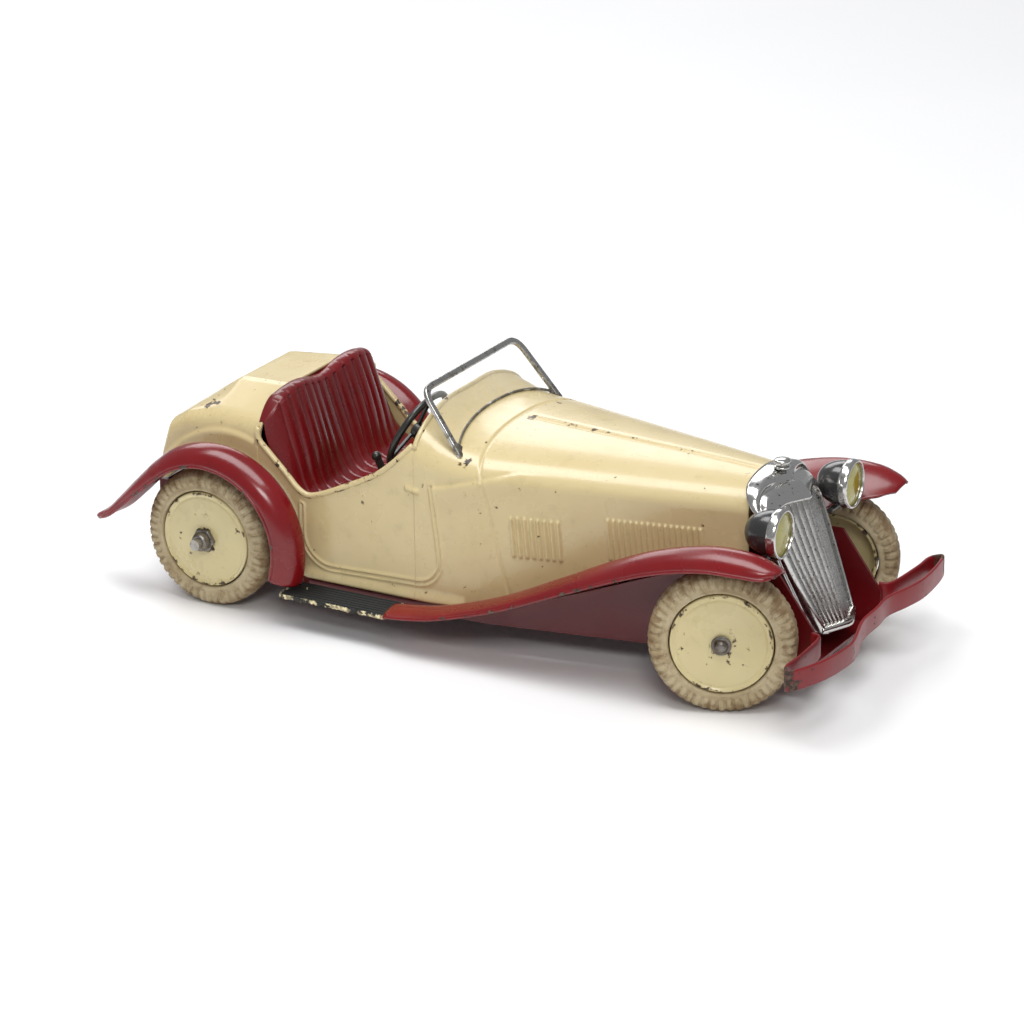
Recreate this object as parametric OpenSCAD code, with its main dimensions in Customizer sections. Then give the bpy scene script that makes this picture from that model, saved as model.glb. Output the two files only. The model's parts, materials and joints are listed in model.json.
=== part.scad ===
// Clockwork open sports car in pressed tinplate: an open two-seater with steered front wheels
// and a spring motor that drives the rear axle.
// X points forward, Y to the car's left, Z up. The ground is Z = 0, and the origin is the
// middle of the car's outline on the ground.

/* [Overall] */
// Distance between the axles
wheelbase = 153; // [150:1:156]
// Front of the bumper ahead of the front axle
front_overhang = 32; // [30:1:33]
// Tips of the rear wings behind the rear axle
rear_overhang = 35; // [34:1:36]
// Width over the bumper
bumper_w = 89; // [88:1:92]
// Thickness of the pressed sheet
sheet_t = 0.8; // [0.6:0.1:0.9]

/* [Wheels] */
// Outer radius of the tyres
tyre_r = 19; // [18.8:0.1:19.2]
// Width of the tyres
tyre_w = 9; // [8:0.5:9]
// Radius of the painted wheel discs
disc_r = 13.2; // [12.8:0.1:13.4]
// Distance between the centre planes of a pair of wheels
track = 63; // [62:1:64]

/* [Body] */
// Half the width of the body at the doors
body_half_w = 29.5; // [29:0.1:29.8]
// Half the width of the bonnet where it meets the radiator
bonnet_front_half_w = 14.2; // [13.8:0.1:14.6]
// Lower edge of the body between the wings
sill_z = 11.5; // [11.5:0.1:12]
// Outer edge of the wings from the centre line
wing_half_w = 42; // [41.5:0.1:42.5]

/* [Steering] */
// How far the front wheels are turned to the left as the car stands
steer_rest = 22; // [18:1:24]

/* [Clockwork] */
// Teeth of each large wheel of the train
wheel_teeth = 36; // [36:1:36]
// Teeth of each pinion
pinion_teeth = 16; // [16:1:16]
// Tooth module
gear_module = 0.5; // [0.5:0.1:0.5]

/* [Hidden] */
$fn = 48;

length = wheelbase + front_overhang + rear_overhang;
nose_x = length / 2;
tail_x = -length / 2;
front_axle_x = nose_x - front_overhang;
rear_axle_x = tail_x + rear_overhang;
axle_z = tyre_r;
bumper_end_y = bumper_w / 2 - 0.5;
gap = 0.3;          // room between sheets of different pressings
running_gap = 0.05; // a shaft's radial clearance in its bore

// ---- helpers -------------------------------------------------------------------------

function mix(a, b, t) = a + (b - a) * t;

function catmull(a, b, c, d, t) =
    0.5 * (2 * b + (c - a) * t + (2 * a - 5 * b + 4 * c - d) * t * t
    + (3 * b - a - 3 * c + d) * t * t * t);

// Smooth curve through the points p, with n steps between neighbours.
function smooth(p, n) = concat(
    [for (i = [0:len(p) - 2]) for (k = [0:n - 1])
        catmull(p[max(i - 1, 0)], p[i], p[i + 1], p[min(i + 2, len(p) - 1)], k / n)],
    [p[len(p) - 1]]);

function reversed(list) = [for (i = [len(list) - 1:-1:0]) list[i]];

// Unit normal of the path p at point i, in the path's own plane.
function normal2(p, i) = let(
    d = p[min(i + 1, len(p) - 1)] - p[max(i - 1, 0)]) [-d[1], d[0]] / norm(d);

// A strip of thickness t along the plane path p.
function strip(p, t) = concat(
    [for (i = [0:len(p) - 1]) p[i] + normal2(p, i) * t / 2],
    reversed([for (i = [0:len(p) - 1]) p[i] - normal2(p, i) * t / 2]));

// Closed solid between two equal grids of points, such as the two faces of a pressed sheet.
module sheet(upper, lower) {
    m = len(upper);
    k = len(upper[0]);
    n = m * k;
    points = concat([for (r = upper) each r], [for (r = lower) each r]);
    faces = [for (i = [0:m - 2]) for (j = [0:k - 2]) let(a = i * k + j, b = a + k) each [
        [a, a + 1, b + 1], [a, b + 1, b],
        [n + a, n + b + 1, n + a + 1], [n + a, n + b, n + b + 1]]];
    ends = [for (j = [0:k - 2]) let(a = j, b = (m - 1) * k + j) each [
        [a + 1, a, n + a], [a + 1, n + a, n + a + 1],
        [b, b + 1, n + b + 1], [b, n + b + 1, n + b]]];
    edges = [for (i = [0:m - 2]) let(a = i * k, b = a + k - 1) each [
        [a, a + k, n + a + k], [a, n + a + k, n + a],
        [b + k, b, n + b], [b + k, n + b, n + b + k]]];
    polyhedron(points, concat(faces, ends, edges));
}

// Joins pressings into one closed mesh.
module welded() { resize([0, 0, 0]) union() children(); }

// A flat plate drawn in X and Z, from y0 to y1.
module upright(y0, y1) {
    translate([0, y1, 0]) rotate([90, 0, 0]) linear_extrude(y1 - y0) children();
}

// A round bar along Y from y0 to y1 through the point [x, z].
module bar(p, y0, y1, r) {
    translate([p[0], y0, p[1]]) rotate([-90, 0, 0]) cylinder(h = y1 - y0, r = r);
}

// The left part, or its mirror image on the right.
module side(s) { mirror([0, s > 0 ? 0 : 1, 0]) children(); }

// ---- body ----------------------------------------------------------------------------

lip_x = -13;            // rear edge of the scuttle
bonnet_end_x = 77;      // front edge of the bonnet, inside the radiator shell
deck_front_x = -61;     // front edge of the rear deck, behind the seat

rear_arch_c = [-70.5, 20];  // centre of the rear wing's curve
rear_arch_r = 27;           // its crown
body_arch_r = 22.5;           // lower edge of the body inside it
key_p = [-36.5, 20.5];      // winding arbor

// Half width of the bonnet: straight from the scuttle to the radiator.
function bonnet_w(x) = x < 7 ? body_half_w
    : mix(body_half_w, bonnet_front_half_w, (x - 7) / (bonnet_end_x - 7));

// Scuttle and bonnet: x, crown, spring of the arch, lower edge, squareness of the arch.
bonnet_rows = smooth([
    [lip_x, 61.7, 47, sill_z, 2.5], [-9, 60, 47, sill_z, 2.4], [-4, 57.8, 47, 11.8, 2.3],
    [4, 56.7, 47, 12.5, 2.2], [20, 56, 47, 16.5, 2.2], [45, 55.1, 46.5, 26.5, 2.2],
    [64, 54.3, 46, 32.6, 2.2], [bonnet_end_x, 53.6, 45.5, 35.6, 2.2]], 3);

arch_steps = 16;
function arch(w, h, n, i) = let(a = 180 * i / arch_steps, c = cos(a), s = sin(a))
    [-sign(c) * w * pow(abs(c), 2 / n), h * pow(abs(s), 2 / n)];

function bonnet_row(r, t) = let(w = bonnet_w(r[0]) - t) concat(
    [[r[0], -w, r[3]]],
    [for (i = [0:arch_steps]) let(p = arch(w, r[1] - r[2] - t, r[4], i)) [r[0], p[0], r[2] + p[1]]],
    [[r[0], w, r[3]]]);

// Rear deck and tail: x, flat top's half width, its height, side's half width, shoulder, lower edge.
deck_rows = [
    [deck_front_x, 13.6, 58.5, 28.8, 51.6, 40.4], [-69, 12.8, 58, 28, 51.4, 42.4],
    [-77, 12, 57.5, 27, 51, 41.5], [-82, 12.3, 54.2, 26.6, 50.6, 39.3],
    [-86.5, 12.6, 51.1, 26.4, 50.2, 35.8], [-92, 13, 47.5, 26.2, 46.9, 31],
    [-94.4, 13, 40, 26, 39.8, 30.4], [-95, 13, 30.6, 26, 30.5, 30.3]];

function deck_row(r, t) = [
    for (p = [[-r[3] + t, r[5]], [-r[3] + t, r[4] - t], [-r[1], r[2] - t],
        [0, r[2] - t], [r[1], r[2] - t], [r[3] - t, r[4] - t], [r[3] - t, r[5]]])
    [r[0] + (r[0] < -90 ? t : 0), p[0], p[1]]];

// Side of the body from the rear wing to the scuttle, with the cut-down cockpit edge.
cockpit_edge = smooth([[-61.2, 51.5], [-61, 48], [-57.5, 44.3], [-52.9, 39.9], [-48.5, 35.6],
    [-44.1, 34.9], [-34.4, 39], [-24.6, 44.1], [-19, 48.5], [-14, 53.5]], 3);

module body_side_outline() {
    arch_in = [for (a = [72:-9:-18]) rear_arch_c + body_arch_r * [cos(a), sin(a)]];
    polygon(concat(cockpit_edge, [[lip_x + 1, 53.5], [lip_x + 1, sill_z]],
        reversed(concat(arch_in, [[-46.5, sill_z]]))));
}

module body_shell() {
    color("wheat") welded() {
        sheet([for (r = bonnet_rows) bonnet_row(r, 0)],
            [for (r = bonnet_rows) bonnet_row(r, sheet_t)]);
        sheet([for (r = reversed(deck_rows)) deck_row(r, 0)],
            [for (r = reversed(deck_rows)) deck_row(r, sheet_t)]);
        upright(-body_half_w, sheet_t - body_half_w) body_side_outline();
        difference() {
            upright(body_half_w - sheet_t, body_half_w) body_side_outline();
            bar(key_p, 20, 40, 2.6);
        }
    }
}

// ---- wings and running boards --------------------------------------------------------

wing_t = sheet_t;
wing_crown_y = 35.5;

// Cross-section of a wing: up from the body, over the crown, down to the outer edge.
function wing_section(y_in, y_out, drop, in_drop, t) = [
    [y_in, -in_drop - t], [mix(y_in, wing_crown_y, 0.35), -0.62 * in_drop - t],
    [mix(y_in, wing_crown_y, 0.7), -0.2 * in_drop - t], [wing_crown_y, -t],
    [mix(wing_crown_y, y_out - t, 0.4), -0.12 * drop - t],
    [mix(wing_crown_y, y_out - t, 0.75), -0.42 * drop - t * 0.8],
    [y_out - t * 0.9, -0.78 * drop - t * 0.3], [y_out - t, -drop]];

// One row of points across the wing at row r of its path, with the outward direction n.
function wing_row(r, n, t) = [for (q = wing_section(r[2], r[3], r[4], r[5], t))
    [r[0] + n[0] * q[1], q[0], r[1] + n[1] * q[1]]];

// Front wing: x and z of the crown, inner edge, outer edge, fall to the outer and inner edges.
front_wing_path = smooth([
    [-16, 11.6, 30, wing_half_w, 1.6, 1.8], [-2, 13.8, 29.9, wing_half_w, 1.8, 2.4],
    [16, 19.8, 28, wing_half_w, 2.2, 4], [34, 28.3, 23.8, wing_half_w, 3, 6.4],
    [49.5, 36, 20.6, wing_half_w, 4, 8], [63, 41.6, 18.4, wing_half_w, 4.6, 9],
    [77, 45, 17.8, wing_half_w, 4.8, 9.2], [88, 45.3, 24, wing_half_w - 0.2, 4.6, 6.6],
    [94.5, 43.7, 27.8, wing_half_w - 1.6, 3.6, 4], [97.6, 42, 31.5, wing_half_w - 4, 1.6, 1.8]], 3);

// Rear wing: an arc over the wheel, then the flicked tail.
rear_wing_path = concat(
    [for (a = [-18:9:126]) let(p = rear_arch_c + rear_arch_r * [cos(a), sin(a)], u = (a + 18) / 144)
        [p[0], p[1], 30, wing_half_w, mix(6.6, 4.7, u), mix(4.4, 3, u)]],
    smooth([[-90.6, 38.3, 29.5, wing_half_w - 0.3, 4.3, 3], [-96, 32.9, 28.5, wing_half_w - 1, 3.6, 2.6],
        [-101, 27.7, 28, wing_half_w - 2, 2.8, 2.2], [-105.5, 23.2, 28.6, wing_half_w - 3, 2, 1.8],
        [tail_x + 0.1, 20.4, 31, wing_half_w - 5, 1.2, 1.2]], 2));

// The outward direction is on the left of the path if turn is 1, on its right if turn is -1.
module wing(path, turn) {
    q = [for (p = path) [p[0], p[1]]];
    rows = [for (t = [0, wing_t]) [for (i = [0:len(path) - 1])
        wing_row(path[i], turn * normal2(q, i), t)]];
    if (turn > 0) sheet(rows[1], rows[0]); else sheet(rows[0], rows[1]);
}

module front_wing() { color("firebrick") wing(front_wing_path, 1); }
module rear_wing() { color("firebrick") wing(rear_wing_path, -1); }

board_x = [-48.8, -15.8];
board_y = [30.2, 40.2];
board_z = 9;
rib_pitch = 1.6;

module running_board() {
    ribs = [for (i = [0:4]) for (c = [[-0.35, 0], [-0.2, 0.5], [0.2, 0.5], [0.35, 0]])
        [board_y[0] + 2 + i * rib_pitch + c[0], board_z + 1 + c[1]]];
    section = concat([[board_y[0], board_z], [board_y[0], board_z + 1]], ribs,
        [[board_y[1], board_z + 1], [board_y[1], board_z - 0.6], [board_y[1] - sheet_t, board_z - 0.6],
        [board_y[1] - sheet_t, board_z]]);
    color("darkslategray") translate([board_x[0], 0, 0]) rotate([90, 0, 90])
        linear_extrude(board_x[1] - board_x[0]) polygon(section);
}

// ---- chassis and bumper --------------------------------------------------------------

pan_z = 8;              // underside of the floor
floor_z = pan_z + sheet_t;
rail_y = 18.5;          // side walls ahead of the bonnet
// Plan of the left half: x and half width.
pan_plan = [[-96, 25.6], [-50.5, 25.6], [-47, 28.4], [7, 28.4], [60, rail_y], [99, rail_y]];

// Side view of the walls: the wheel wells, the sills and the aprons under the front wings.
pan_side = [[-96, 11], [-93, pan_z], [96, pan_z], [99, 12], [99.5, 17.5], [88, 33.4], [78, 33.4],
    [64, 30.6], [50, 25.8], [34, 20], [18, 14.6], [5, 11.1], [-44.5, 11.1], [-47.5, 26], [-93, 29.5], [-96, 29.5]];

module pan_outline(inset) {
    left = [for (p = pan_plan) [p[0] + (p[0] < -90 ? inset : 0), p[1] - inset]];
    polygon(concat(left, reversed([for (p = left) [p[0], -p[1]]])));
}

tie_rod_x = front_axle_x - 8;
tie_rod_z = 14.2;

module chassis_pan() {
    color("firebrick") difference() {
        union() {
            translate([0, 0, pan_z]) linear_extrude(sheet_t) intersection() {
                pan_outline(sheet_t);
                translate([-93, -40]) square([189, 80]);
            }
            intersection() {
                translate([0, 0, pan_z]) linear_extrude(40) difference() {
                    pan_outline(0);
                    translate([1, 0]) pan_outline(sheet_t);
                }
                upright(-40, 40) polygon(pan_side);
            }
            lever_post();
        }
        // Slots for the rear axle, the front beam and the tie rod
        for (s = [-1, 1]) side(s) {
            upright(24, 30) translate([rear_axle_x, axle_z]) circle(3);
            upright(rail_y - 2, rail_y + 2) translate([tie_rod_x - 4.5, tie_rod_z - 1.4])
                square([8, 3.6]);
        }
        upright(-rail_y - 2, rail_y + 2) translate([front_axle_x - 2.1, axle_z - 2.3])
            square([4.2, 4.6]);
        bar(lever_p, -20, 0, lever_pin_r);
    }
}

// Bumper: a spring-steel strip with two forward lobes, its ends folded back to the pan.
bumper_z = [14.4, 20];
bumper_t = 0.9;
bumper_leg = [[nose_x - 12.2, 19.3], [nose_x - 9.2, 21.4], [nose_x - 8.2, 34],
    [nose_x - 8.3, 40.5], [nose_x - 7.3, 43.3], [nose_x - 5.6, bumper_end_y]];
bumper_path = smooth(concat(bumper_leg,
    [[nose_x - 4, 37], [nose_x - 3.2, 27], [nose_x - 4.2, 19.3], [nose_x - 5.9, 11.5],
    [nose_x - 5.2, 3.8], [nose_x - 4.6, -5.5], [nose_x - 1.4, -16.5],
    [nose_x - bumper_t / 2, -22.5], [nose_x - 1.7, -34]],
    [for (p = reversed(bumper_leg)) [p[0], -p[1]]]), 3);

module front_bumper() {
    color("crimson") difference() {
        translate([0, 0, bumper_z[0]]) linear_extrude(bumper_z[1] - bumper_z[0])
            polygon(strip(bumper_path, bumper_t));
        translate([nose_x - 25, -rail_y - gap, 0]) cube([14.5, 2 * (rail_y + gap), 30]);
    }
}

// ---- radiator and lamps --------------------------------------------------------------

rake = 0.358;           // backward slope of the radiator: x lost for each z gained
vee = 0.44;             // x lost for each mm from the centre
ridge_x = 104.9;        // the centre ridge, extended to the ground
rad_foot_z = 15.2;

// Outline of the radiator seen from the front: y and z, from the foot up to the crown.
rad_half = smooth([[9, rad_foot_z], [10.2, 19.6], [11.6, 26], [12.8, 33], [13.7, 40], [14.2, 45],
    [13.4, 48.6], [10.4, 51], [5.5, 51.9], [0, 52.2]], 2);
rad_outline = concat([for (p = rad_half) [-p[0], p[1]]],
    [for (i = [len(rad_half) - 2:-1:0]) rad_half[i]]);

// Front edge of the shell beside the grille, and its rear edge over the bonnet.
function crown_u(p) = max(0, (p[1] - 45) / 7.2);
function shell_front_x(p) = ridge_x + 0.8 - rake * p[1] - vee * abs(p[0])
    - 2.4 * pow(crown_u(p), 2);
function shell_rear_x(p) = p[1] > 45 ? mix(80.5, 74.2, crown_u(p))
    : mix(90.6, 80.5, (p[1] - rad_foot_z) / (45 - rad_foot_z));
// The shell stands off the bonnet by its own thickness, and grows towards the bonnet's crown.
function rad_grow(p, d) = let(n = norm([p[0], max(p[1] - 40, 0) * 1.1])) p
    + d * (p[1] > 40 ? [p[0], (p[1] - 40) * 1.1] / n : [sign(p[0]), 0]);

shell_lip = 1.7;
shell_bend_x = 78.3;    // the shell stays clear of the bonnet up to here
module radiator_shell() {
    sections = [for (p = rad_outline) let(rise = 1.1 * crown_u(p), rear = rad_grow(p, 1.3 + rise),
        rear_in = rad_grow(p, 0.65 + rise), front_in = rad_grow(p, -0.7), lip = rad_grow(p, -shell_lip),
        bend_x = max(shell_rear_x(p) + 0.5, shell_bend_x)) [
        [[shell_rear_x(p), rear[0], rear[1]], [bend_x, rear[0], rear[1]],
            [shell_front_x(p) - 1, p[0], p[1]], [shell_front_x(p), lip[0] + sign(p[0]) * 0.5, lip[1]]],
        [[shell_rear_x(p), rear_in[0], rear_in[1]], [bend_x, rear_in[0], rear_in[1]],
            [shell_front_x(p) - 1.8, front_in[0], front_in[1]],
            [shell_front_x(p) - 0.8, lip[0], lip[1]]]]];
    color("silver") sheet([for (s = sections) s[1]], [for (s = sections) s[0]]);
}

rib_count = 7;
module radiator_grille() {
    half_w = 13.2;
    rib_h = 0.55;
    setback = vee * half_w;
    front = [for (i = [0:rib_count * 2]) let(u = i / (rib_count * 2), y = u * half_w)
        [-u * setback - (i % 2 == 0 ? rib_h : 0), y]];
    plan = concat([for (i = [len(front) - 1:-1:1]) [front[i][0], -front[i][1]]], front,
        [[-setback - 1.8, half_w], [-2.6, 0], [-setback - 1.8, -half_w]]);
    color("gainsboro") intersection() {
        translate([ridge_x - rake * rad_foot_z, 0, rad_foot_z]) rotate([0, -atan(rake), 0])
            translate([0, 0, -4]) linear_extrude(50) polygon(plan);
        translate([60, 0, 0]) rotate([90, 0, 90]) linear_extrude(60)
            polygon([for (p = rad_outline) rad_grow(p, -shell_lip - 0.05)]);
    }
}

cap_x = 79.4;
module radiator_cap() {
    color("silver") translate([cap_x, 0, 54.75]) rotate_extrude() polygon([[0, 0], [2.2, 0],
        [2.2, 0.5], [1.2, 0.8], [1.2, 1.1], [2.1, 1.3], [2.3, 1.8], [2.1, 2.2], [0, 2.6]]);
}

lamp_p = [90.8, 20.1, 45.2];    // centre of a lens
lamp_yaw = 3.5;                 // both lamps point slightly to the left
// Places a lamp drawn along +Z at the left (s = 1) or right (s = -1).
module at_lamp(s) {
    translate([lamp_p[0], s * lamp_p[1], lamp_p[2]]) rotate([0, 90, lamp_yaw]) children();
}

module headlamp_bowl(s) {
    color("dimgray") at_lamp(s) rotate_extrude() polygon(concat(
        [[0, -10]], [for (a = [0:15:75]) [5.9 * sin(a + 10), -3.6 - 6.4 * cos(a + 10)]],
        [[6, -2.2], [5.4, -2.2], [5.2, -3.4]],
        [for (a = [60:-15:0]) [5.2 * sin(a + 10), -3.6 - 5.7 * cos(a + 10)]], [[0, -9.3]]));
}
module headlamp_rim(s) {
    color("silver") at_lamp(s) rotate_extrude() polygon([[5.6, -2.15], [6.3, -2.15], [6.65, -1.5],
        [6.65, -0.3], [6.3, 0.4], [5.75, 0.6], [5.65, 0.1], [5.65, -1.5]]);
}
module headlamp_lens(s) {
    color("olive") at_lamp(s) rotate_extrude() polygon(concat([[0, -1.2], [5.6, -1.2], [5.6, -0.4]],
        [for (a = [22:-5.5:0]) [14.95 * sin(a), 14.95 * cos(a) - 14.26]]));
}

module headlamp_stalks() {
    color("dimgray") for (s = [-1, 1]) difference() {
        translate([lamp_p[0] - 5.2, 0, lamp_p[2] - 6.2]) side(s) {
            translate([0, 15, 0]) rotate([-90, 0, 0]) cylinder(h = 5.4, r = 0.8);
            translate([0, 20.2, -0.8]) cylinder(h = 2.4, r = 1.1);
        }
        at_lamp(s) translate([0, 0, -12]) cylinder(h = 12, r = 5.96);
    }
}

// ---- windscreen ----------------------------------------------------------------------

screen_foot = [0.9, 50.4];      // x and z of the feet
screen_lean = 38.3;             // from the vertical
screen_h = 23;
screen_half_w = [26.9, 24.6];   // at the feet and at the top
bar_w = 1.7;
bar_t = 1.3;

// Places a drawing with X to the car's left and Y up the screen.
module in_screen() {
    translate([screen_foot[0], 0, screen_foot[1]]) rotate([0, -screen_lean, 0])
        rotate([90, 0, 90]) translate([0, 0, -bar_t / 2]) children();
}

// Top of the scuttle in the screen's plane, from the arch of the bonnet's section there.
function scuttle_v(u) = let(g = pow(max(0, 1 - pow(abs(u) / body_half_w, 2.25)), 1 / 2.25))
    (10.13 * g - 3.4) / (0.785 - 0.085 * g);
frame_lift = 1.6;       // clears the bars' thickness above the scuttle

function screen_outline(inset, corner) = let(top = screen_h - inset, c = corner - inset,
    half = [for (a = [0:15:90]) [screen_half_w[1] - corner + c * cos(a), screen_h - corner + c * sin(a)]])
    concat([[screen_half_w[0] - inset, 0]], half, reversed([for (p = half) [-p[0], p[1]]]),
    [[-screen_half_w[0] + inset, 0]]);

frame_spread = 0.98;     // the same clearance down the sides of the scuttle

function scuttle_line(lift, half_w) =
    [for (i = [-12:12]) let(u = half_w * i / 12) [u, scuttle_v(u * frame_spread) + lift]];

module windscreen_frame() {
    inner_w = screen_half_w[0] - bar_w;
    color("silver") in_screen() linear_extrude(bar_t) difference() {
        polygon(screen_outline(0, 4));
        difference() {
            polygon(screen_outline(bar_w, 4));
            polygon(concat(scuttle_line(frame_lift + 1.2, inner_w), [[inner_w, -5], [-inner_w, -5]]));
            for (s = [-1, 1]) polygon([[s * inner_w, 4.5], [s * (inner_w - 2.6), 7], [s * inner_w, 11]]);
        }
        polygon(concat(scuttle_line(frame_lift, 28), [[28, -5], [-28, -5]]));
    }
}

module windscreen_pane() {
    inner_w = screen_half_w[0] - bar_w;
    color("khaki", 0.4) in_screen() translate([0, 0, bar_t / 2 - 0.2]) linear_extrude(0.4)
        difference() {
            polygon(screen_outline(bar_w + 0.05, 4));
            polygon(concat(scuttle_line(frame_lift + 1.25, inner_w), [[inner_w, -5], [-inner_w, -5]]));
            for (s = [-1, 1]) polygon([[s * (inner_w + 1), 3.6], [s * (inner_w - 2.7), 7],
                [s * (inner_w + 1), 12.6]]);
        }
}

// ---- seat ----------------------------------------------------------------------------

seat_half_w = 26;
// Front face in side view: from the front of the squab, back and up the backrest.
seat_path = smooth([[-33.5, 31.4], [-42, 31.4], [-48, 32], [-51, 35.5], [-53.4, 42],
    [-55.8, 49], [-58, 55.5]], 3);

// Two shallow buckets, higher in the middle of each seat.
function seat_swell(u) = 0.5 - 0.5 * cos(360 * u);
function seat_row(y, t) = let(u = (y + seat_half_w) / seat_half_w, swell = seat_swell(u),
    fall = max(0, abs(y) / seat_half_w - 0.86) * 4)
    [for (i = [0:len(seat_path) - 1]) let(p = seat_path[i], up = max(0, (p[1] - 31.4) / 24))
        [p[0] + (1.4 * swell - 0.8 * fall) * up - (p[1] > 32.5 ? t : 0), y,
            p[1] + up * up * (2.2 * swell - 1.6 * fall) - (p[1] > 36 ? 0.2 * t : t)]];

module seat() {
    ys = [for (i = [-12:12]) seat_half_w * i / 12];
    color("darkred") sheet([for (y = ys) seat_row(y, 0)], [for (y = ys) seat_row(y, 1)]);
}

// ---- wheels --------------------------------------------------------------------------

wheel_y = track / 2;
disc_out = 4.3;         // outer face of a disc from the wheel's centre plane
rim_in = -3.2;          // inner edge of a disc's rim
hub_bore = 1.5;

// Tyre and disc are drawn about Z, with +Z towards the outside of the car.
module tyre() {
    h = tyre_w / 2;
    profile = [[tyre_r - 3.2, h - 0.1], [tyre_r - 1.5, h - 0.3], [tyre_r - 0.5, h - 1.1],
        [tyre_r - 0.1, h - 2.1], [tyre_r, h - 3.2]];
    color("antiquewhite") rotate_extrude() polygon(concat(
        [[disc_r, rim_in], [disc_r + 0.6, -h]], [for (p = profile) [p[0], -p[1]]],
        reversed(profile), [[disc_r + 0.6, h], [disc_r, disc_out - 0.3]]));
}

module disc(bore) {
    color("wheat") rotate_extrude() polygon([[bore, disc_out - 0.8], [3.2, disc_out - 0.8],
        [3.6, disc_out - 0.6], [11, disc_out - 0.9], [12.4, disc_out - 1.6], [12.4, rim_in],
        [disc_r, rim_in], [disc_r, disc_out - 0.5], [12.8, disc_out - 0.1], [12, disc_out],
        [11.4, disc_out - 0.2], [4.4, disc_out + 0.15], [3.6, disc_out], [bore, disc_out]]);
}

// Places a front wheel part at its kingpin, turned as the car stands.
kingpin_y = 29.2;
module at_kingpin(s) {
    translate([front_axle_x, s * kingpin_y, axle_z]) rotate([0, 0, steer_rest]) children();
}
module at_front_wheel(s) {
    at_kingpin(s) translate([0, s * (wheel_y - kingpin_y), 0]) rotate([-90 * s, 0, 0]) children();
}
module at_rear_wheel(s) {
    translate([rear_axle_x, s * wheel_y, axle_z]) rotate([-90 * s, 0, 0]) children();
}

stub_r = 1.25;
module front_washer(s) {
    color("gray") at_front_wheel(s) translate([0, 0, disc_out + 0.3]) rotate_extrude()
        polygon([[stub_r, 0], [2.6, 0], [2.6, 0.5], [1.9, 0.6], [1.9, 1.2], [stub_r, 1.6]]);
}

// Knuckle: a fork over the end of the beam, a stub axle and a steering arm.
knuckle_gap = 2.35;     // from the beam's centre to a fork ear
ear_t = 1.1;
arm_l = 8;
steer_pin_r = 0.8;
module steering_knuckle(s) {
    color("gray") at_kingpin(s) {
        difference() {
            union() {
                for (z = [knuckle_gap, -knuckle_gap - ear_t]) translate([0, 0, z])
                    linear_extrude(ear_t) {
                        circle(2.2);
                        translate([-1.9, s > 0 ? 0 : -3]) square([3.8, 3]);
                    }
                translate([-1.9, s > 0 ? 2.2 : -3, -knuckle_gap - ear_t])
                    cube([3.8, 0.8, 2 * (knuckle_gap + ear_t)]);
                translate([-arm_l, -1.2, -knuckle_gap - ear_t]) cube([arm_l, 2.4, ear_t]);
                translate([-arm_l, 0, -knuckle_gap - ear_t]) cylinder(h = ear_t, r = 1.2);
            }
            translate([0, 0, -5]) cylinder(h = 10, r = 1 + running_gap);
        }
        translate([-arm_l, 0, tie_rod_z - axle_z - 0.6])
            cylinder(h = axle_z - knuckle_gap - ear_t + 0.7 - tie_rod_z, r = steer_pin_r);
        rotate([-90 * s, 0, 0]) translate([0, 0, 3]) cylinder(h = 5.4, r = stub_r);
        rotate([-90 * s, 0, 0]) translate([0, 0, 3]) cylinder(h = 1.1, r = 2.4);
    }
}

module front_axle_beam() {
    color("gray") difference() {
        union() {
            translate([front_axle_x - 2, -kingpin_y, axle_z - 2.2])
                cube([4, 2 * kingpin_y, 4.4]);
            for (s = [-1, 1]) translate([front_axle_x, s * kingpin_y, axle_z - 2.2])
                cylinder(h = 4.4, r = 2);
        }
        for (s = [-1, 1]) translate([front_axle_x, s * kingpin_y, 0]) cylinder(h = 40, r = 1);
    }
}

module kingpins() {
    color("silver") for (s = [-1, 1]) translate([front_axle_x, s * kingpin_y, 0]) {
        translate([0, 0, axle_z - 4.6]) cylinder(h = 9.2, r = 1);
        for (z = [axle_z - 4.6, axle_z + 3.7]) translate([0, 0, z]) cylinder(h = 0.9, r = 1.7);
    }
}

// ---- steering gear -------------------------------------------------------------------

column_tilt = 27;       // from the horizontal
column_y = -12;
fork_half_w = 2.15;
wheel_centre = [-22, 51.5];
column_foot_x = 46;
column_foot_z = wheel_centre[1] - (column_foot_x - wheel_centre[0]) * tan(column_tilt);
crank_l = 7.2;
crank_ball_r = 1.3;
column_r = 1.2;
rod_shift = -arm_l * sin(steer_rest);           // tie rod's place as the car stands
column_turn = asin(-rod_shift / crank_l);       // steering wheel's turn to match

// Draws along +Z from the foot of the column up to the steering wheel.
module at_column() {
    translate([column_foot_x, column_y, column_foot_z]) rotate([0, column_tilt - 90, 0])
        rotate([0, 0, column_turn]) children();
}
column_l = norm([column_foot_x - wheel_centre[0], column_foot_z - wheel_centre[1]]);

module steering_column() {
    color("dimgray") at_column() {
        cylinder(h = column_l + 1, r = column_r);
        translate([-crank_l, 0, 0]) sphere(r = crank_ball_r);
        translate([-crank_l, -0.8, -0.6]) cube([crank_l, 1.6, 1.8]);
    }
}

wheel_rim_r = 12.4;
module steering_wheel() {
    color("black") at_column() translate([0, 0, column_l]) difference() {
        union() {
            rotate_extrude() translate([wheel_rim_r - 0.9, 0]) circle(r = 0.95);
            for (a = [0, 120, 240]) rotate([0, 0, a + 60]) translate([0, -0.9, -0.5])
                cube([wheel_rim_r - 1, 1.8, 1]);
            translate([0, 0, -0.9]) cylinder(h = 2.6, r = 2.4);
        }
        translate([0, 0, -5]) cylinder(h = 6, r = column_r);
    }
}

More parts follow.
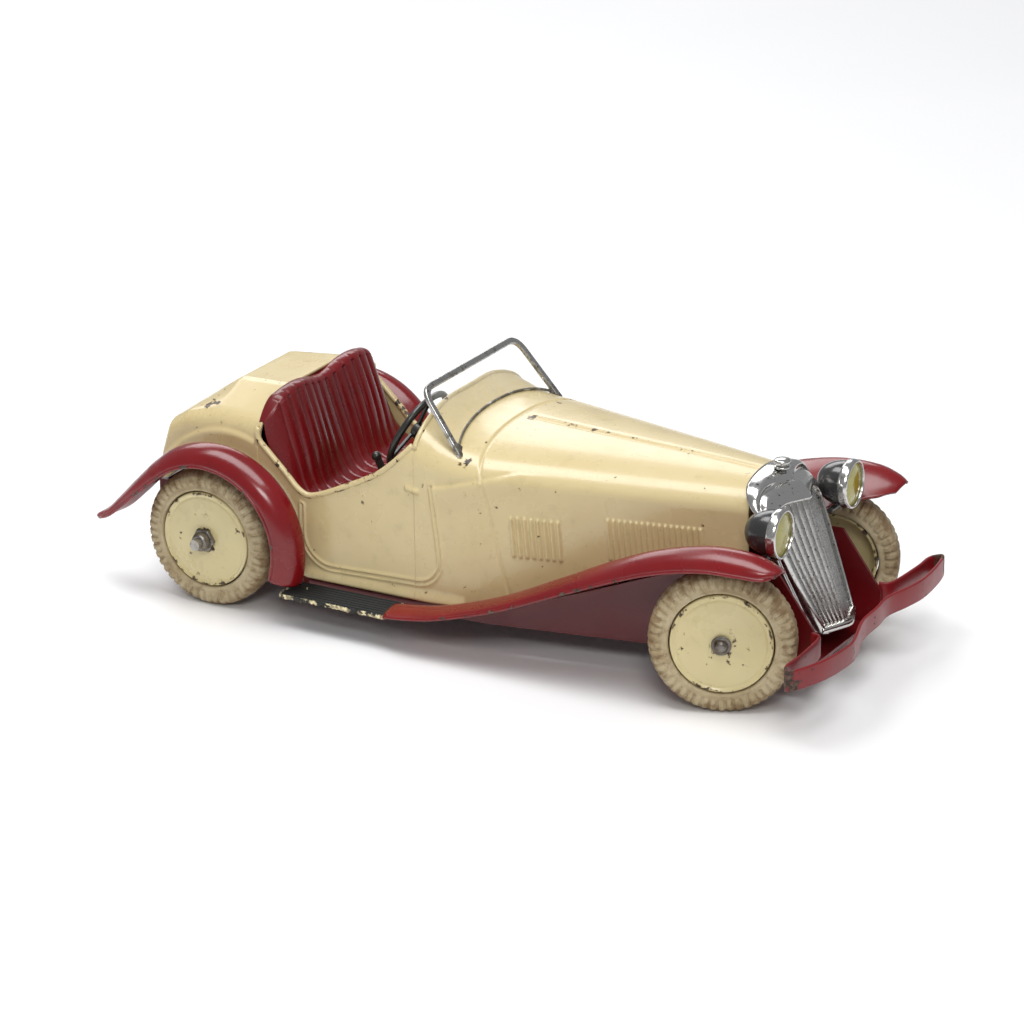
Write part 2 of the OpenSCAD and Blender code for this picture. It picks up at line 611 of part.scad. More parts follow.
bracket_x = 34;
module column_bracket() {
    z = wheel_centre[1] - (bracket_x - wheel_centre[0]) * tan(column_tilt);
    color("gray") difference() {
        union() {
            translate([bracket_x - 0.6, column_y - 4, floor_z]) cube([1.2, 8, z + 4 - floor_z]);
            translate([bracket_x - 0.6, column_y - 4, floor_z]) cube([5, 8, 0.8]);
        }
        at_column() translate([0, 0, 2]) cylinder(h = 60, r = column_r + running_gap);
    }
}

fork_z = 10.2;
fork_gap = 3.1;
module tie_rod() {
    color("gray") translate([0, rod_shift, 0]) difference() {
        union() {
            translate([tie_rod_x - 1.4, -kingpin_y, tie_rod_z]) cube([3.3, 2 * kingpin_y, 0.8]);
            for (s = [-1, 1]) translate([tie_rod_x + 0.25, s * kingpin_y, tie_rod_z])
                cylinder(h = 0.8, r = 1.65);
            translate([tie_rod_x - 1.4, column_y - fork_half_w, fork_z])
                cube([0.8, 2 * fork_half_w, tie_rod_z - fork_z]);
            translate([40, column_y - fork_half_w, fork_z])
                cube([tie_rod_x - 40.6, 2 * fork_half_w, 0.8]);
        }
        translate([39, column_y - fork_gap / 2, fork_z - 1]) cube([10, fork_gap, 3]);
        for (s = [-1, 1]) for (x = [-0.1, 0.85]) translate([tie_rod_x + x, s * kingpin_y, tie_rod_z - 1])
            cylinder(h = 3, r = steer_pin_r + 0.12);
        for (s = [-1, 1]) translate([tie_rod_x - 0.1, s * kingpin_y - steer_pin_r - 0.12, tie_rod_z - 1])
            cube([0.95, 2 * (steer_pin_r + 0.12), 3]);
    }
}

// ---- clockwork -----------------------------------------------------------------------

pressure_angle = 25;
addendum = 0.8 * gear_module;
dedendum = 1.05 * gear_module;
backlash = 0.08;
gear_t = 1.2;
mesh_d = gear_module * (wheel_teeth + pinion_teeth) / 2;

axle_p = [rear_axle_x, axle_z];
second_p = axle_p + mesh_d * [cos(10), sin(10)];
first_p = meeting(second_p, key_p, mesh_d);

// The lower point at distance d from both a and b.
function meeting(a, b, d) = let(c = norm(b - a), u = (b - a) / c)
    (a + b) / 2 + sqrt(d * d - c * c / 4) * [u[1], -u[0]];
function bearing(a, b) = atan2(b[1] - a[1], b[0] - a[0]);

function involute_deg(rb, r) = r <= rb ? 0 : let(a = acos(rb / r)) tan(a) * 180 / PI - a;
// Outline of a spur gear with a tooth centred on the +X axis.
function gear_outline(teeth) = let(rp = gear_module * teeth / 2, rb = rp * cos(pressure_angle),
    ra = rp + addendum, rr = rp - dedendum,
    half = 90 / teeth - backlash / rp * 90 / PI + involute_deg(rb, rp),
    radii = [rr, max(rb, rr + 0.01), mix(rb, ra, 0.4), mix(rb, ra, 0.75), ra])
    [for (i = [0:teeth - 1]) for (s = [-1, 1]) for (k = [0:4]) let(
        r = radii[s < 0 ? k : 4 - k], a = 360 * i / teeth + s * (half - involute_deg(rb, r)))
        r * [cos(a), sin(a)]];

// A gear at p from y0 to y0 + t, with a tooth on the bearing a in the X-Z plane.
module gear(p, teeth, a, y0, t) {
    translate([p[0], y0 + t, p[1]]) rotate([90, 0, 0]) rotate([0, 0, a])
        linear_extrude(t) polygon(gear_outline(teeth));
}

great_y = -3.5;
first_y = 0;
second_y = 3.5;
plate_y = [-8.5, 12.5];     // inner corner of each side plate
plate_t = 1;
arbor_r = 1;
key_arbor_r = 1.5;
axle_r = 1.5;

module axle_pinion() {
    color("goldenrod") difference() {
        gear(axle_p, pinion_teeth, bearing(axle_p, second_p) + 180 / pinion_teeth, second_y - 0.6, 2.4);
        bar(axle_p, -20, 20, axle_r);
    }
}
module second_gear() {
    color("goldenrod") {
        gear(second_p, wheel_teeth, bearing(second_p, axle_p), second_y, gear_t);
        gear(second_p, pinion_teeth, bearing(second_p, first_p) + 180 / pinion_teeth,
            first_y - 0.6, second_y - first_y + 0.6);
        bar(second_p, plate_y[0] + 0.1, plate_y[1] + plate_t - 0.1, arbor_r);
    }
}
module first_gear() {
    color("goldenrod") {
        gear(first_p, wheel_teeth, bearing(first_p, second_p), first_y, gear_t);
        gear(first_p, pinion_teeth, bearing(first_p, key_p) + 180 / pinion_teeth,
            great_y - 0.6, first_y - great_y + 0.6);
        bar(first_p, plate_y[0] + 0.1, plate_y[1] + plate_t - 0.1, arbor_r);
    }
}
click_p = key_p + 6.2 * [cos(60), sin(60)];
ratchet_r = 3.6;
module great_wheel() {
    color("goldenrod") difference() {
        union() {
            gear(key_p, wheel_teeth, bearing(key_p, first_p), great_y, gear_t);
            bar(click_p, great_y - 1.6, great_y, 0.6);
        }
        bar(key_p, -20, 20, key_arbor_r + running_gap);
    }
}
module ratchet_wheel() {
    teeth = 12;
    color("silver") difference() {
        upright(great_y - 1.3, great_y - 0.2) translate(key_p) polygon(
            [for (i = [0:teeth - 1]) each [ratchet_r * [cos(360 * i / teeth), sin(360 * i / teeth)],
                (ratchet_r - 0.8) * [cos(360 * i / teeth + 3), sin(360 * i / teeth + 3)]]]);
        bar(key_p, -20, 20, key_arbor_r);
    }
}
module click() {
    tip = key_p + (ratchet_r + 0.75) * [cos(5), sin(5)];
    color("silver") difference() {
        union() {
            bar(click_p, great_y - 1.3, great_y - 0.2, 1.2);
            upright(great_y - 1.3, great_y - 0.2)
                polygon([click_p + [-0.8, 0], click_p + [1.1, 0], tip + [0.7, 0.2], tip + [-0.35, -0.3]]);
        }
        bar(click_p, -20, 20, 0.6 + running_gap);
    }
}
key_blade_y = [36.5, 43.8];
module winding_arbor() {
    color("silver") bar(key_p, plate_y[0] - 0.9, 38, key_arbor_r);
}
key_wing_r = 6.3;
module winding_key() {
    mid = (key_blade_y[0] + key_blade_y[1]) / 2;
    color("silver") difference() {
        union() {
            bar(key_p, 33, 39.5, 2.4);
            translate([key_p[0], 0, key_p[1]]) rotate([0, 20, 0]) difference() {
                translate([0, 0, -0.6]) linear_extrude(1.2) {
                    for (s = [-1, 1]) translate([s * 3, mid]) circle(3.3);
                    translate([-3, key_blade_y[0]]) square([6, 2 * 3.3]);
                }
                for (s = [-1, 1]) translate([s * 3.3, mid, -2]) cylinder(h = 4, r = 1.4);
            }
        }
        bar(key_p, 20, 38, key_arbor_r);
    }
}

// Spiral spring, drawn part wound, hooked to the upper front pillar in the real motor.
spring_turns = 5;
module mainspring() {
    path = [for (a = [0:15:360 * spring_turns]) let(r = 2.6 + 5.6 * a / (360 * spring_turns))
        r * [cos(a), sin(a)]];
    color("slategray") upright(3, 11.5) translate(key_p) polygon(strip(path, 0.35));
}

pillar_ps = [[-79, 27.5], [-55.3, 30.2], [-27.6, 27.5], [-27.6, 12.5], [-62.5, 10.2]];
pillar_r = 1.2;
module motor_plate(y0) {
    color("lightgray") difference() {
        upright(y0, y0 + plate_t) polygon([[-81.5, floor_z], [-25.2, floor_z], [-25.2, 29.5],
            [-50.5, 29.5], [-53, 31.8], [-66, 31.8], [-81.5, 30]]);
        bar(axle_p, -20, 20, axle_r + running_gap);
        bar(second_p, -20, 20, arbor_r + running_gap);
        bar(first_p, -20, 20, arbor_r + running_gap);
        bar(key_p, -20, 20, key_arbor_r + running_gap);
        for (p = pillar_ps) bar(p, -20, 20, 0.7);
    }
}
module motor_pillars() {
    color("silver") for (p = pillar_ps) difference() {
        bar(p, plate_y[0] + plate_t, plate_y[1], pillar_r);
        for (y = [plate_y[0], plate_y[1] - 2.5]) bar(p, y, y + 3.5, 0.7);
    }
}
module motor_screws() {
    color("gray") for (p = pillar_ps) {
        bar(p, plate_y[0] - 0.8, plate_y[0], 1.3);
        bar(p, plate_y[0], plate_y[0] + 3.4, 0.7);
        bar(p, plate_y[1] + plate_t, plate_y[1] + plate_t + 0.8, 1.3);
        bar(p, plate_y[1] - 2.4, plate_y[1] + plate_t, 0.7);
    }
}

axle_end = disc_out + 5;   // each end of the rear axle from its wheel's centre plane
module rear_axle() {
    color("silver") bar(axle_p, -wheel_y - axle_end, wheel_y + axle_end, axle_r);
}
module rear_hub_nuts() {
    color("gray") for (s = [-1, 1]) at_rear_wheel(s) difference() {
        union() {
            translate([0, 0, disc_out]) cylinder(h = 1.2, r = 3.5);
            translate([0, 0, disc_out + 1.2]) cylinder(h = 2.4, r = 2.6, $fn = 6);
        }
        cylinder(h = 12, r = axle_r);
    }
}

// ---- brake lever ---------------------------------------------------------------------

lever_p = [-23.6, 17.5];
lever_pin_r = 0.8;
lever_tip = [-35.8, 41.4];
module lever_post() {
    upright(-12.4, -11.6) polygon([[lever_p[0] - 2.5, floor_z - 0.2], [lever_p[0] + 2.5, floor_z - 0.2],
        [lever_p[0] + 1.8, lever_p[1] + 2], [lever_p[0] - 1.8, lever_p[1] + 2]]);
}
module brake_lever() {
    color("black") {
        bar(lever_p, -13, -9.8, lever_pin_r - running_gap);
        upright(-11.3, -10.3) hull() {
            translate(lever_p) circle(2);
            translate(lever_tip) circle(0.8);
        }
        translate([lever_tip[0], -10.8, lever_tip[1]]) sphere(r = 1.3);
    }
}

// ---- assembly ------------------------------------------------------------------------

chassis_pan();
body_shell();
side(1) front_wing();  // front_wing_left
side(-1) front_wing();  // front_wing_right
side(1) rear_wing();  // rear_wing_left
side(-1) rear_wing();  // rear_wing_right
side(1) running_board();  // running_board_left
side(-1) running_board();  // running_board_right
front_bumper();
radiator_shell();
radiator_grille();
radiator_cap();
headlamp_bowl(1);  // headlamp_bowl_left
headlamp_bowl(-1);  // headlamp_bowl_right
headlamp_rim(1);  // headlamp_rim_left
headlamp_rim(-1);  // headlamp_rim_right
headlamp_lens(1);  // headlamp_lens_left
headlamp_lens(-1);  // headlamp_lens_right
headlamp_stalks();
windscreen_frame();
windscreen_pane();
seat();
front_axle_beam();
kingpins();
steering_knuckle(1);  // steering_knuckle_left
steering_knuckle(-1);  // steering_knuckle_right
at_front_wheel(1) disc(stub_r + running_gap);  // front_disc_left
at_front_wheel(-1) disc(stub_r + running_gap);  // front_disc_right
at_front_wheel(1) tyre();  // front_tyre_left
at_front_wheel(-1) tyre();  // front_tyre_right
front_washer(1);  // front_washer_left
front_washer(-1);  // front_washer_right
tie_rod();
steering_column();
steering_wheel();
column_bracket();
rear_axle();
at_rear_wheel(1) disc(hub_bore);  // rear_disc_left
at_rear_wheel(-1) disc(hub_bore);  // rear_disc_right
at_rear_wheel(1) tyre();  // rear_tyre_left
at_rear_wheel(-1) tyre();  // rear_tyre_right
rear_hub_nuts();
axle_pinion();
motor_plate(plate_y[1]);  // motor_plate_left
motor_plate(plate_y[0]);  // motor_plate_right
motor_pillars();
motor_screws();
mainspring();
great_wheel();
first_gear();
second_gear();
winding_arbor();
ratchet_wheel();
winding_key();
click();
brake_lever();
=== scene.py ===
"""Looks of the clockwork open sports car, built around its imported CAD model.

Shapes are written in millimetres in the CAD model's frame (X forward, Y to the
car's left, Z up, ground at Z = 0) and become metres where a mesh is made.
"""
import json
import math

import bpy
import numpy as np
from mathutils import Matrix, Vector


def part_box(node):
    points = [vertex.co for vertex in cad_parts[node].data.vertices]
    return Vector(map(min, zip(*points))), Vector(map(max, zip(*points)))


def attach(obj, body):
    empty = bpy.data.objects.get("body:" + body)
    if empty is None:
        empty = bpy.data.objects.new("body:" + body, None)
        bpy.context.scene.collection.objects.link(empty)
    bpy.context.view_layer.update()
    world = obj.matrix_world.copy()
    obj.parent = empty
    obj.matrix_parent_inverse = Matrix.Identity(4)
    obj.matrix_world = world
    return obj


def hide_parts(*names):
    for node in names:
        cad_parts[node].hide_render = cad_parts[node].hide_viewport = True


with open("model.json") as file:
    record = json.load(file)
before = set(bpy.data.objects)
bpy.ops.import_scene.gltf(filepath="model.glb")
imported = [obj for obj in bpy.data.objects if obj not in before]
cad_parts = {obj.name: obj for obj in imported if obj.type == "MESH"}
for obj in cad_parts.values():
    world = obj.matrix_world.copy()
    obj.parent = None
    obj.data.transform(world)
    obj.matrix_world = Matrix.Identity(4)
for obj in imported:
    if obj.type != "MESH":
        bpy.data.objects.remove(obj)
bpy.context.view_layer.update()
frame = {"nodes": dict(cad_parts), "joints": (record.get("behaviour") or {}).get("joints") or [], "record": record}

MM = 0.001
SIDES = {"left": 1, "right": -1}
rng = np.random.default_rng(7)

# ---- mesh helpers ----------------------------------------------------


def smooth_path(points, n):
    """A Catmull-Rom curve through the rows of points, n steps between neighbours."""
    p = np.array(points, float)
    p = np.vstack([p[:1], p, p[-1:]])
    t = (np.arange(n) / n)[:, None]
    parts = []
    for a, b, c, d in zip(p, p[1:], p[2:], p[3:]):
        parts.append(0.5 * (2 * b + (c - a) * t + (2 * a - 5 * b + 4 * c - d) * t**2
                            + (3 * b - a - 3 * c + d) * t**3))
    return np.vstack(parts + [p[-1:]])


def fillet(points, radius, steps=4):
    """The polyline with its inner corners rounded."""
    p = [np.array(q, float) for q in points]
    out = [p[0]]
    for a, b, c in zip(p, p[1:], p[2:]):
        u, v = a - b, c - b
        lu, lv = np.linalg.norm(u), np.linalg.norm(v)
        cut = min(radius, lu / 2.01, lv / 2.01)
        s, e = b + u / lu * cut, b + v / lv * cut
        for k in range(steps + 1):
            t = k / steps
            out.append((1 - t) ** 2 * s + 2 * t * (1 - t) * b + t**2 * e)
    out.append(p[-1])
    return np.array(out)


def resample(points, n):
    """n points spread evenly along a polyline."""
    p = np.array(points, float)
    s = np.concatenate([[0], np.cumsum(np.linalg.norm(np.diff(p, axis=0), axis=1))])
    at = np.linspace(0, s[-1], n)
    return np.stack([np.interp(at, s, p[:, k]) for k in range(p.shape[1])], 1)


def resample_rows(rows, n):
    """n rows spread evenly along the path made by the rows' first two values."""
    s = np.concatenate([[0], np.cumsum(np.linalg.norm(np.diff(rows[:, :2], axis=0), axis=1))])
    at = np.linspace(0, s[-1], n)
    return np.stack([np.interp(at, s, rows[:, k]) for k in range(rows.shape[1])], 1)


def normals(p, inside):
    """Unit normals of a grid of points, pointing away from the point inside."""
    n = np.cross(np.gradient(p, axis=1), np.gradient(p, axis=0))
    n /= np.maximum(np.linalg.norm(n, axis=2, keepdims=True), 1e-9)
    return -n if (n * (p - inside)).sum() < 0 else n


def add_mesh(name, verts, faces, material, wear=None, smooth=True):
    mesh = bpy.data.meshes.new(name)
    mesh.from_pydata((np.asarray(verts, float) * MM).tolist(), [], faces)
    mesh.materials.append(material)
    mesh.polygons.foreach_set("use_smooth", [smooth] * len(mesh.polygons))
    worn = mesh.attributes.new("wear", "FLOAT", "POINT")
    values = np.zeros(len(verts)) if wear is None else np.asarray(wear, float).ravel()
    worn.data.foreach_set("value", values.astype(np.float32))
    obj = bpy.data.objects.new(name, mesh)
    bpy.context.scene.collection.objects.link(obj)
    return obj


def grid(name, p, material, inside=None, wear=None, wrap=(False, False)):
    """A mesh over the m x n grid of points p. Its faces point away from inside."""
    m, n = p.shape[:2]
    rows, cols = range(m if wrap[0] else m - 1), range(n if wrap[1] else n - 1)
    faces = [(i * n + j, i * n + (j + 1) % n, (i + 1) % m * n + (j + 1) % n, (i + 1) % m * n + j)
             for i in rows for j in cols]
    if inside is not None:
        n0 = np.cross(np.gradient(p, axis=1), np.gradient(p, axis=0))
        if (n0 * (p - np.array(inside, float))).sum() < 0:
            faces = [f[::-1] for f in faces]
    return add_mesh(name, p.reshape(-1, 3), faces, material, wear)


def thicken(obj, thickness):
    """Gives a sheet its thickness, on the inner side."""
    mod = obj.modifiers.new("thickness", "SOLIDIFY")
    mod.thickness, mod.offset, mod.use_even_offset = thickness * MM, -1, False
    return obj


def ring_profile(half_w, half_h, radius, steps=3):
    """A rectangle with rounded corners, as a closed loop of (across, up) points."""
    pts = []
    for cx, cy, a0 in ((1, 1, 0), (-1, 1, 90), (-1, -1, 180), (1, -1, 270)):
        for k in range(steps + 1):
            a = math.radians(a0 + 90 * k / steps)
            pts.append((cx * (half_w - radius) + radius * math.cos(a),
                        cy * (half_h - radius) + radius * math.sin(a)))
    return np.array(pts)


def sweep(name, path, profile, up, material, wear=None):
    """Sweeps a closed (across, up) profile along a path that lies square to up."""
    p, up = np.array(path, float), np.array(up, float)
    d = np.gradient(p, axis=0)
    d /= np.linalg.norm(d, axis=1, keepdims=True)
    across = np.cross(up, d)
    across /= np.linalg.norm(across, axis=1, keepdims=True)
    above = np.cross(d, across)
    pts = p[:, None] + across[:, None] * profile[None, :, :1] + above[:, None] * profile[None, :, 1:]
    obj = grid(name, pts, material, wear=None if wear is None else np.repeat(wear, len(profile)),
               wrap=(False, True))
    cap_ends(obj, len(p), len(profile))
    return obj


def cap_ends(obj, m, n):
    """Closes both ends of a swept mesh with one face each."""
    mesh = obj.data
    verts = np.array([v.co for v in mesh.vertices]) / MM
    faces = [tuple(f.vertices) for f in mesh.polygons]
    faces += [tuple(range(n))[::-1], tuple(range((m - 1) * n, m * n))]
    worn = [a.value for a in mesh.attributes["wear"].data]
    new = add_mesh(obj.name + "_capped", verts, faces, mesh.materials[0], worn)
    obj.data = new.data
    bpy.data.objects.remove(new)


def circle_profile(radius, steps=10):
    a = np.linspace(0, 2 * math.pi, steps, endpoint=False)
    return radius * np.stack([np.cos(a), np.sin(a)], 1)


def placed(points, place):
    """Local points moved by the 4 x 4 matrix place, in millimetres."""
    p = np.asarray(points, float)
    return p @ place[:3, :3].T + place[:3, 3]


def lathe(name, profile, place, material, steps=96, wear=None, shape=None):
    """Turns (radius, height) points about local Z. shape(p, angle) may push them about."""
    prof = np.array(profile, float)
    a = np.linspace(0, 2 * math.pi, steps, endpoint=False)
    p = np.stack([prof[:, :1] * np.cos(a), prof[:, :1] * np.sin(a),
                  np.repeat(prof[:, 1:2], steps, 1)], 2)
    if shape:
        p = shape(p, a)
    return grid(name, placed(p, place), material, wrap=(False, True),
                wear=None if wear is None else np.repeat(wear, steps))


def join(name, objects):
    """One object from several."""
    bpy.ops.object.select_all(action="DESELECT")
    for o in objects:
        o.select_set(True)
    bpy.context.view_layer.objects.active = objects[0]
    bpy.ops.object.join()
    objects[0].name = name
    return objects[0]


def piece(obj, body, slot, *nodes):
    """Rides on a CAD body, and stands for the CAD nodes named."""
    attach(obj, body)
    if nodes:
        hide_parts(*nodes)
    return obj


def frame_along(origin, direction):
    """A matrix at origin whose local Z points along direction."""
    m = np.eye(4)
    m[:3, :3] = np.array(Vector(direction).to_track_quat("Z", "Y").to_matrix())
    m[:3, 3] = origin
    return m


def mirrored(p, side):
    """Points of the left side, moved to the right where side is -1."""
    q = np.array(p, float)
    q[..., 1] *= side
    return q


def box_mm(node):
    low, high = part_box(node)
    return np.array(low) / MM, np.array(high) / MM


def middle(node):
    low, high = box_mm(node)
    return (low + high) / 2


joints = {j["name"]: j for j in frame["joints"]}

# ---- materials -------------------------------------------------------


class Nodes:
    """Short calls for building one material's node tree."""

    def __init__(self, name):
        self.material = bpy.data.materials.new(name)
        self.material.use_nodes = True
        self.tree = self.material.node_tree
        self.shader = self.tree.nodes["Principled BSDF"]
        self.coords = self.tree.nodes.new("ShaderNodeTexCoord").outputs["Object"]

    def link(self, a, b):
        self.tree.links.new(a, b)

    def noise(self, scale, detail=3.0, rough=0.5, offset=0.0):
        """Noise with features about 1 / scale metres across, moved by offset metres."""
        at = self.coords
        if offset:
            mapping = self.tree.nodes.new("ShaderNodeMapping")
            mapping.inputs["Location"].default_value = (offset, offset, offset)
            self.link(at, mapping.inputs["Vector"])
            at = mapping.outputs["Vector"]
        node = self.tree.nodes.new("ShaderNodeTexNoise")
        node.inputs["Scale"].default_value = scale
        node.inputs["Detail"].default_value = detail
        node.inputs["Roughness"].default_value = rough
        self.link(at, node.inputs["Vector"])
        return node.outputs[0]

    def math(self, kind, a, b=0.0):
        node = self.tree.nodes.new("ShaderNodeMath")
        node.operation = kind
        for socket, value in zip(node.inputs, (a, b)):
            if isinstance(value, (int, float)):
                socket.default_value = value
            else:
                self.link(value, socket)
        return node.outputs[0]

    def ramp(self, value, low, high, to_low=0.0, to_high=1.0):
        """Maps value from low..high to to_low..to_high, clamped."""
        node = self.tree.nodes.new("ShaderNodeMapRange")
        node.interpolation_type = "SMOOTHSTEP"
        self.link(value, node.inputs["Value"])
        for name, v in (("From Min", low), ("From Max", high), ("To Min", to_low), ("To Max", to_high)):
            node.inputs[name].default_value = v
        return node.outputs["Result"]

    def mix(self, factor, a, b):
        """Colour a where factor is 0, b where it is 1."""
        node = self.tree.nodes.new("ShaderNodeMix")
        node.data_type = "RGBA"
        self.link(factor, node.inputs[0])
        for socket, value in ((node.inputs[6], a), (node.inputs[7], b)):
            if isinstance(value, tuple):
                socket.default_value = (*value, 1)
            else:
                self.link(value, socket)
        return node.outputs[2]

    def worn(self):
        node = self.tree.nodes.new("ShaderNodeAttribute")
        node.attribute_name = "wear"
        return node.outputs["Fac"]

    def bump(self, height, depth, after=None):
        """Relief from height, depth metres deep."""
        node = self.tree.nodes.new("ShaderNodeBump")
        node.inputs["Distance"].default_value = depth
        self.link(height, node.inputs["Height"])
        if after is not None:
            self.link(after, node.inputs["Normal"])
        return node.outputs["Normal"]

    def done(self, color=None, rough=None, normal=None, **fixed):
        for socket, value in (("Base Color", color), ("Roughness", rough), ("Normal", normal)):
            if value is not None:
                self.link(value, self.shader.inputs[socket])
        for name, value in fixed.items():
            self.shader.inputs[name.replace("_", " ")].default_value = value
        return self.material


def enamel(name, light, dark, bare=(0.035, 0.022, 0.014), gloss=0.22, chips=0.69, halo=None, coat=0.35):
    """Old enamel: drifting colour, grime, chips down to the metal, thickest where worn."""
    n = Nodes(name)
    drift = n.ramp(n.noise(26, 3), 0.32, 0.7)
    color = n.mix(drift, light, dark)
    grime = n.ramp(n.noise(210, 5, 0.65), 0.52, 0.78, 0, 0.28)
    color = n.mix(grime, color, tuple(c * 0.55 for c in dark))
    spots = n.math("ADD", n.noise(330, 5, 0.62), n.math("MULTIPLY", n.worn(), 0.16))
    ring = n.ramp(spots, chips - 0.035, chips)
    color = n.mix(ring, color, halo or tuple(c * 0.45 for c in dark))
    chip = n.ramp(spots, chips, chips + 0.012)
    steel = n.mix(n.ramp(n.noise(900, 2), 0.4, 0.65), bare, tuple(min(1, c * 3.2) for c in bare))
    color = n.mix(chip, color, steel)
    handled = n.ramp(n.noise(70, 4, 0.6), 0.35, 0.75, gloss, gloss + 0.14)
    rough = n.math("ADD", handled, n.math("MULTIPLY", chip, 0.42))
    normal = n.bump(n.noise(420, 2), 0.00003)
    normal = n.bump(n.math("SUBTRACT", 1.0, chip), 0.00012, normal)
    return n.done(color, rough, normal, Coat_Weight=coat, Coat_Roughness=0.12)


def plating(name, light, dark, rough=0.13, stains=0.56):
    """Worn bright plating with dull stains, pits and fine rubbing marks."""
    n = Nodes(name)
    stain = n.ramp(n.math("ADD", n.noise(240, 5, 0.68), n.math("MULTIPLY", n.worn(), 0.16)),
                   stains, stains + 0.13)
    color = n.mix(stain, light, dark)
    pits = n.ramp(n.noise(1300, 2), 0.66, 0.7)
    color = n.mix(pits, color, tuple(c * 0.35 for c in dark))
    rub = n.noise(900, 3, 0.6, 0.3)
    roughness = n.math("ADD", n.ramp(rub, 0.3, 0.75, rough, rough + 0.12), n.math("MULTIPLY", stain, 0.28))
    normal = n.bump(rub, 0.000006)
    normal = n.bump(n.noise(60, 1), 0.00012, normal)
    return n.done(color, roughness, normal, Metallic=1.0)


def steel(name, light, dark, rough=0.36):
    """Dull bare metal with brown spotting."""
    n = Nodes(name)
    color = n.mix(n.ramp(n.noise(160, 5, 0.65), 0.38, 0.68), light, dark)
    rust = n.ramp(n.noise(520, 4, 0.7, 0.7), 0.58, 0.68)
    color = n.mix(rust, color, (0.09, 0.045, 0.022))
    roughness = n.math("ADD", n.ramp(n.noise(700, 3), 0.3, 0.7, rough, rough + 0.15),
                       n.math("MULTIPLY", rust, 0.3))
    return n.done(color, roughness, n.bump(n.noise(800, 3), 0.00004), Metallic=0.9)


def perished_rubber():
    """Off-white rubber, stained brown in patches and towards the tread."""
    n = Nodes("perished_rubber")
    color = n.mix(n.ramp(n.noise(90, 4, 0.6), 0.35, 0.68), (0.49, 0.405, 0.255), (0.38, 0.295, 0.165))
    soil = n.ramp(n.math("ADD", n.noise(330, 5, 0.7, 0.2), n.math("MULTIPLY", n.worn(), 0.17)),
                  0.5, 0.74)
    color = n.mix(soil, color, (0.25, 0.165, 0.08))
    pale = n.ramp(n.noise(700, 4, 0.65, 0.9), 0.6, 0.72, 0, 0.5)
    color = n.mix(pale, color, (0.56, 0.49, 0.35))
    normal = n.bump(n.noise(1100, 5, 0.7), 0.00013)
    normal = n.bump(n.noise(260, 3, 0.6), 0.00018, normal)
    return n.done(color, n.ramp(n.noise(500, 3), 0.3, 0.7, 0.6, 0.85), normal)


def tinted_glass():
    n = Nodes("lamp_glass")
    color = n.mix(n.ramp(n.noise(190, 4, 0.6), 0.3, 0.72), (0.36, 0.32, 0.025), (0.28, 0.25, 0.02))
    return n.done(color, n.ramp(n.noise(400, 3), 0.3, 0.7, 0.12, 0.3), n.bump(n.noise(500, 2), 0.00004),
                  Coat_Weight=0.5, Coat_Roughness=0.08)


def old_celluloid():
    """A clear pane, smeared and slightly yellow."""
    n = Nodes("old_celluloid")
    smear = n.ramp(n.noise(60, 5, 0.7), 0.35, 0.75)
    color = n.mix(smear, (0.93, 0.93, 0.88), (0.86, 0.84, 0.7))
    n.link(n.ramp(n.noise(75, 5, 0.7, 0.4), 0.3, 0.8, 0.03, 0.12), n.shader.inputs["Alpha"])
    return n.done(color, n.ramp(smear, 0, 1, 0.08, 0.25), n.bump(n.noise(55, 2), 0.0002),
                  Specular_IOR_Level=0.6)


CREAM = enamel("cream_enamel", (0.63, 0.515, 0.275), (0.59, 0.47, 0.235), chips=0.705,
               halo=(0.42, 0.3, 0.12), gloss=0.25)
DISC_CREAM = enamel("disc_enamel", (0.66, 0.57, 0.31), (0.61, 0.51, 0.255), chips=0.685,
                    halo=(0.4, 0.3, 0.13), gloss=0.26)
RED = enamel("red_enamel", (0.2, 0.0035, 0.006), (0.16, 0.0025, 0.0045), chips=0.735, gloss=0.2, coat=0.15)
PAN_RED = enamel("pan_red", (0.13, 0.003, 0.005), (0.1, 0.0025, 0.004), chips=0.735, gloss=0.3, coat=0.1)
BUMPER_RED = enamel("bumper_red", (0.235, 0.007, 0.011), (0.19, 0.005, 0.008), chips=0.7, gloss=0.32,
                    coat=0.05)
SEAT_RED = enamel("seat_red", (0.17, 0.003, 0.0055), (0.11, 0.0018, 0.003), chips=0.76, gloss=0.24, coat=0.15)
BLACK = enamel("black_enamel", (0.013, 0.014, 0.013), (0.02, 0.018, 0.014), (0.22, 0.19, 0.14),
               gloss=0.3, chips=0.73)
BOARD = enamel("board_enamel", (0.004, 0.005, 0.003), (0.003, 0.004, 0.002), (0.3, 0.26, 0.16),
               gloss=0.45, chips=0.68, coat=0.0)
LAMP_BLACK = enamel("lamp_black", (0.018, 0.018, 0.019), (0.028, 0.027, 0.026), (0.2, 0.18, 0.15),
                    gloss=0.22, chips=0.72, coat=0.5)
CHROME = plating("worn_plating", (0.6, 0.59, 0.57), (0.27, 0.24, 0.2), stains=0.66)
GRILLE = plating("grille_plating", (0.5, 0.49, 0.47), (0.2, 0.18, 0.15), rough=0.2, stains=0.62)
SCREEN = plating("screen_plating", (0.5, 0.49, 0.47), (0.2, 0.18, 0.15), rough=0.2, stains=0.6)
STEEL = steel("bare_steel", (0.46, 0.44, 0.41), (0.25, 0.22, 0.19))
HUB = steel("hub_steel", (0.27, 0.25, 0.23), (0.1, 0.085, 0.07), 0.3)
SPRING = steel("spring_steel", (0.13, 0.15, 0.2), (0.08, 0.08, 0.1), 0.3)
BRASS = steel("dull_brass", (0.66, 0.48, 0.2), (0.42, 0.28, 0.1), 0.3)
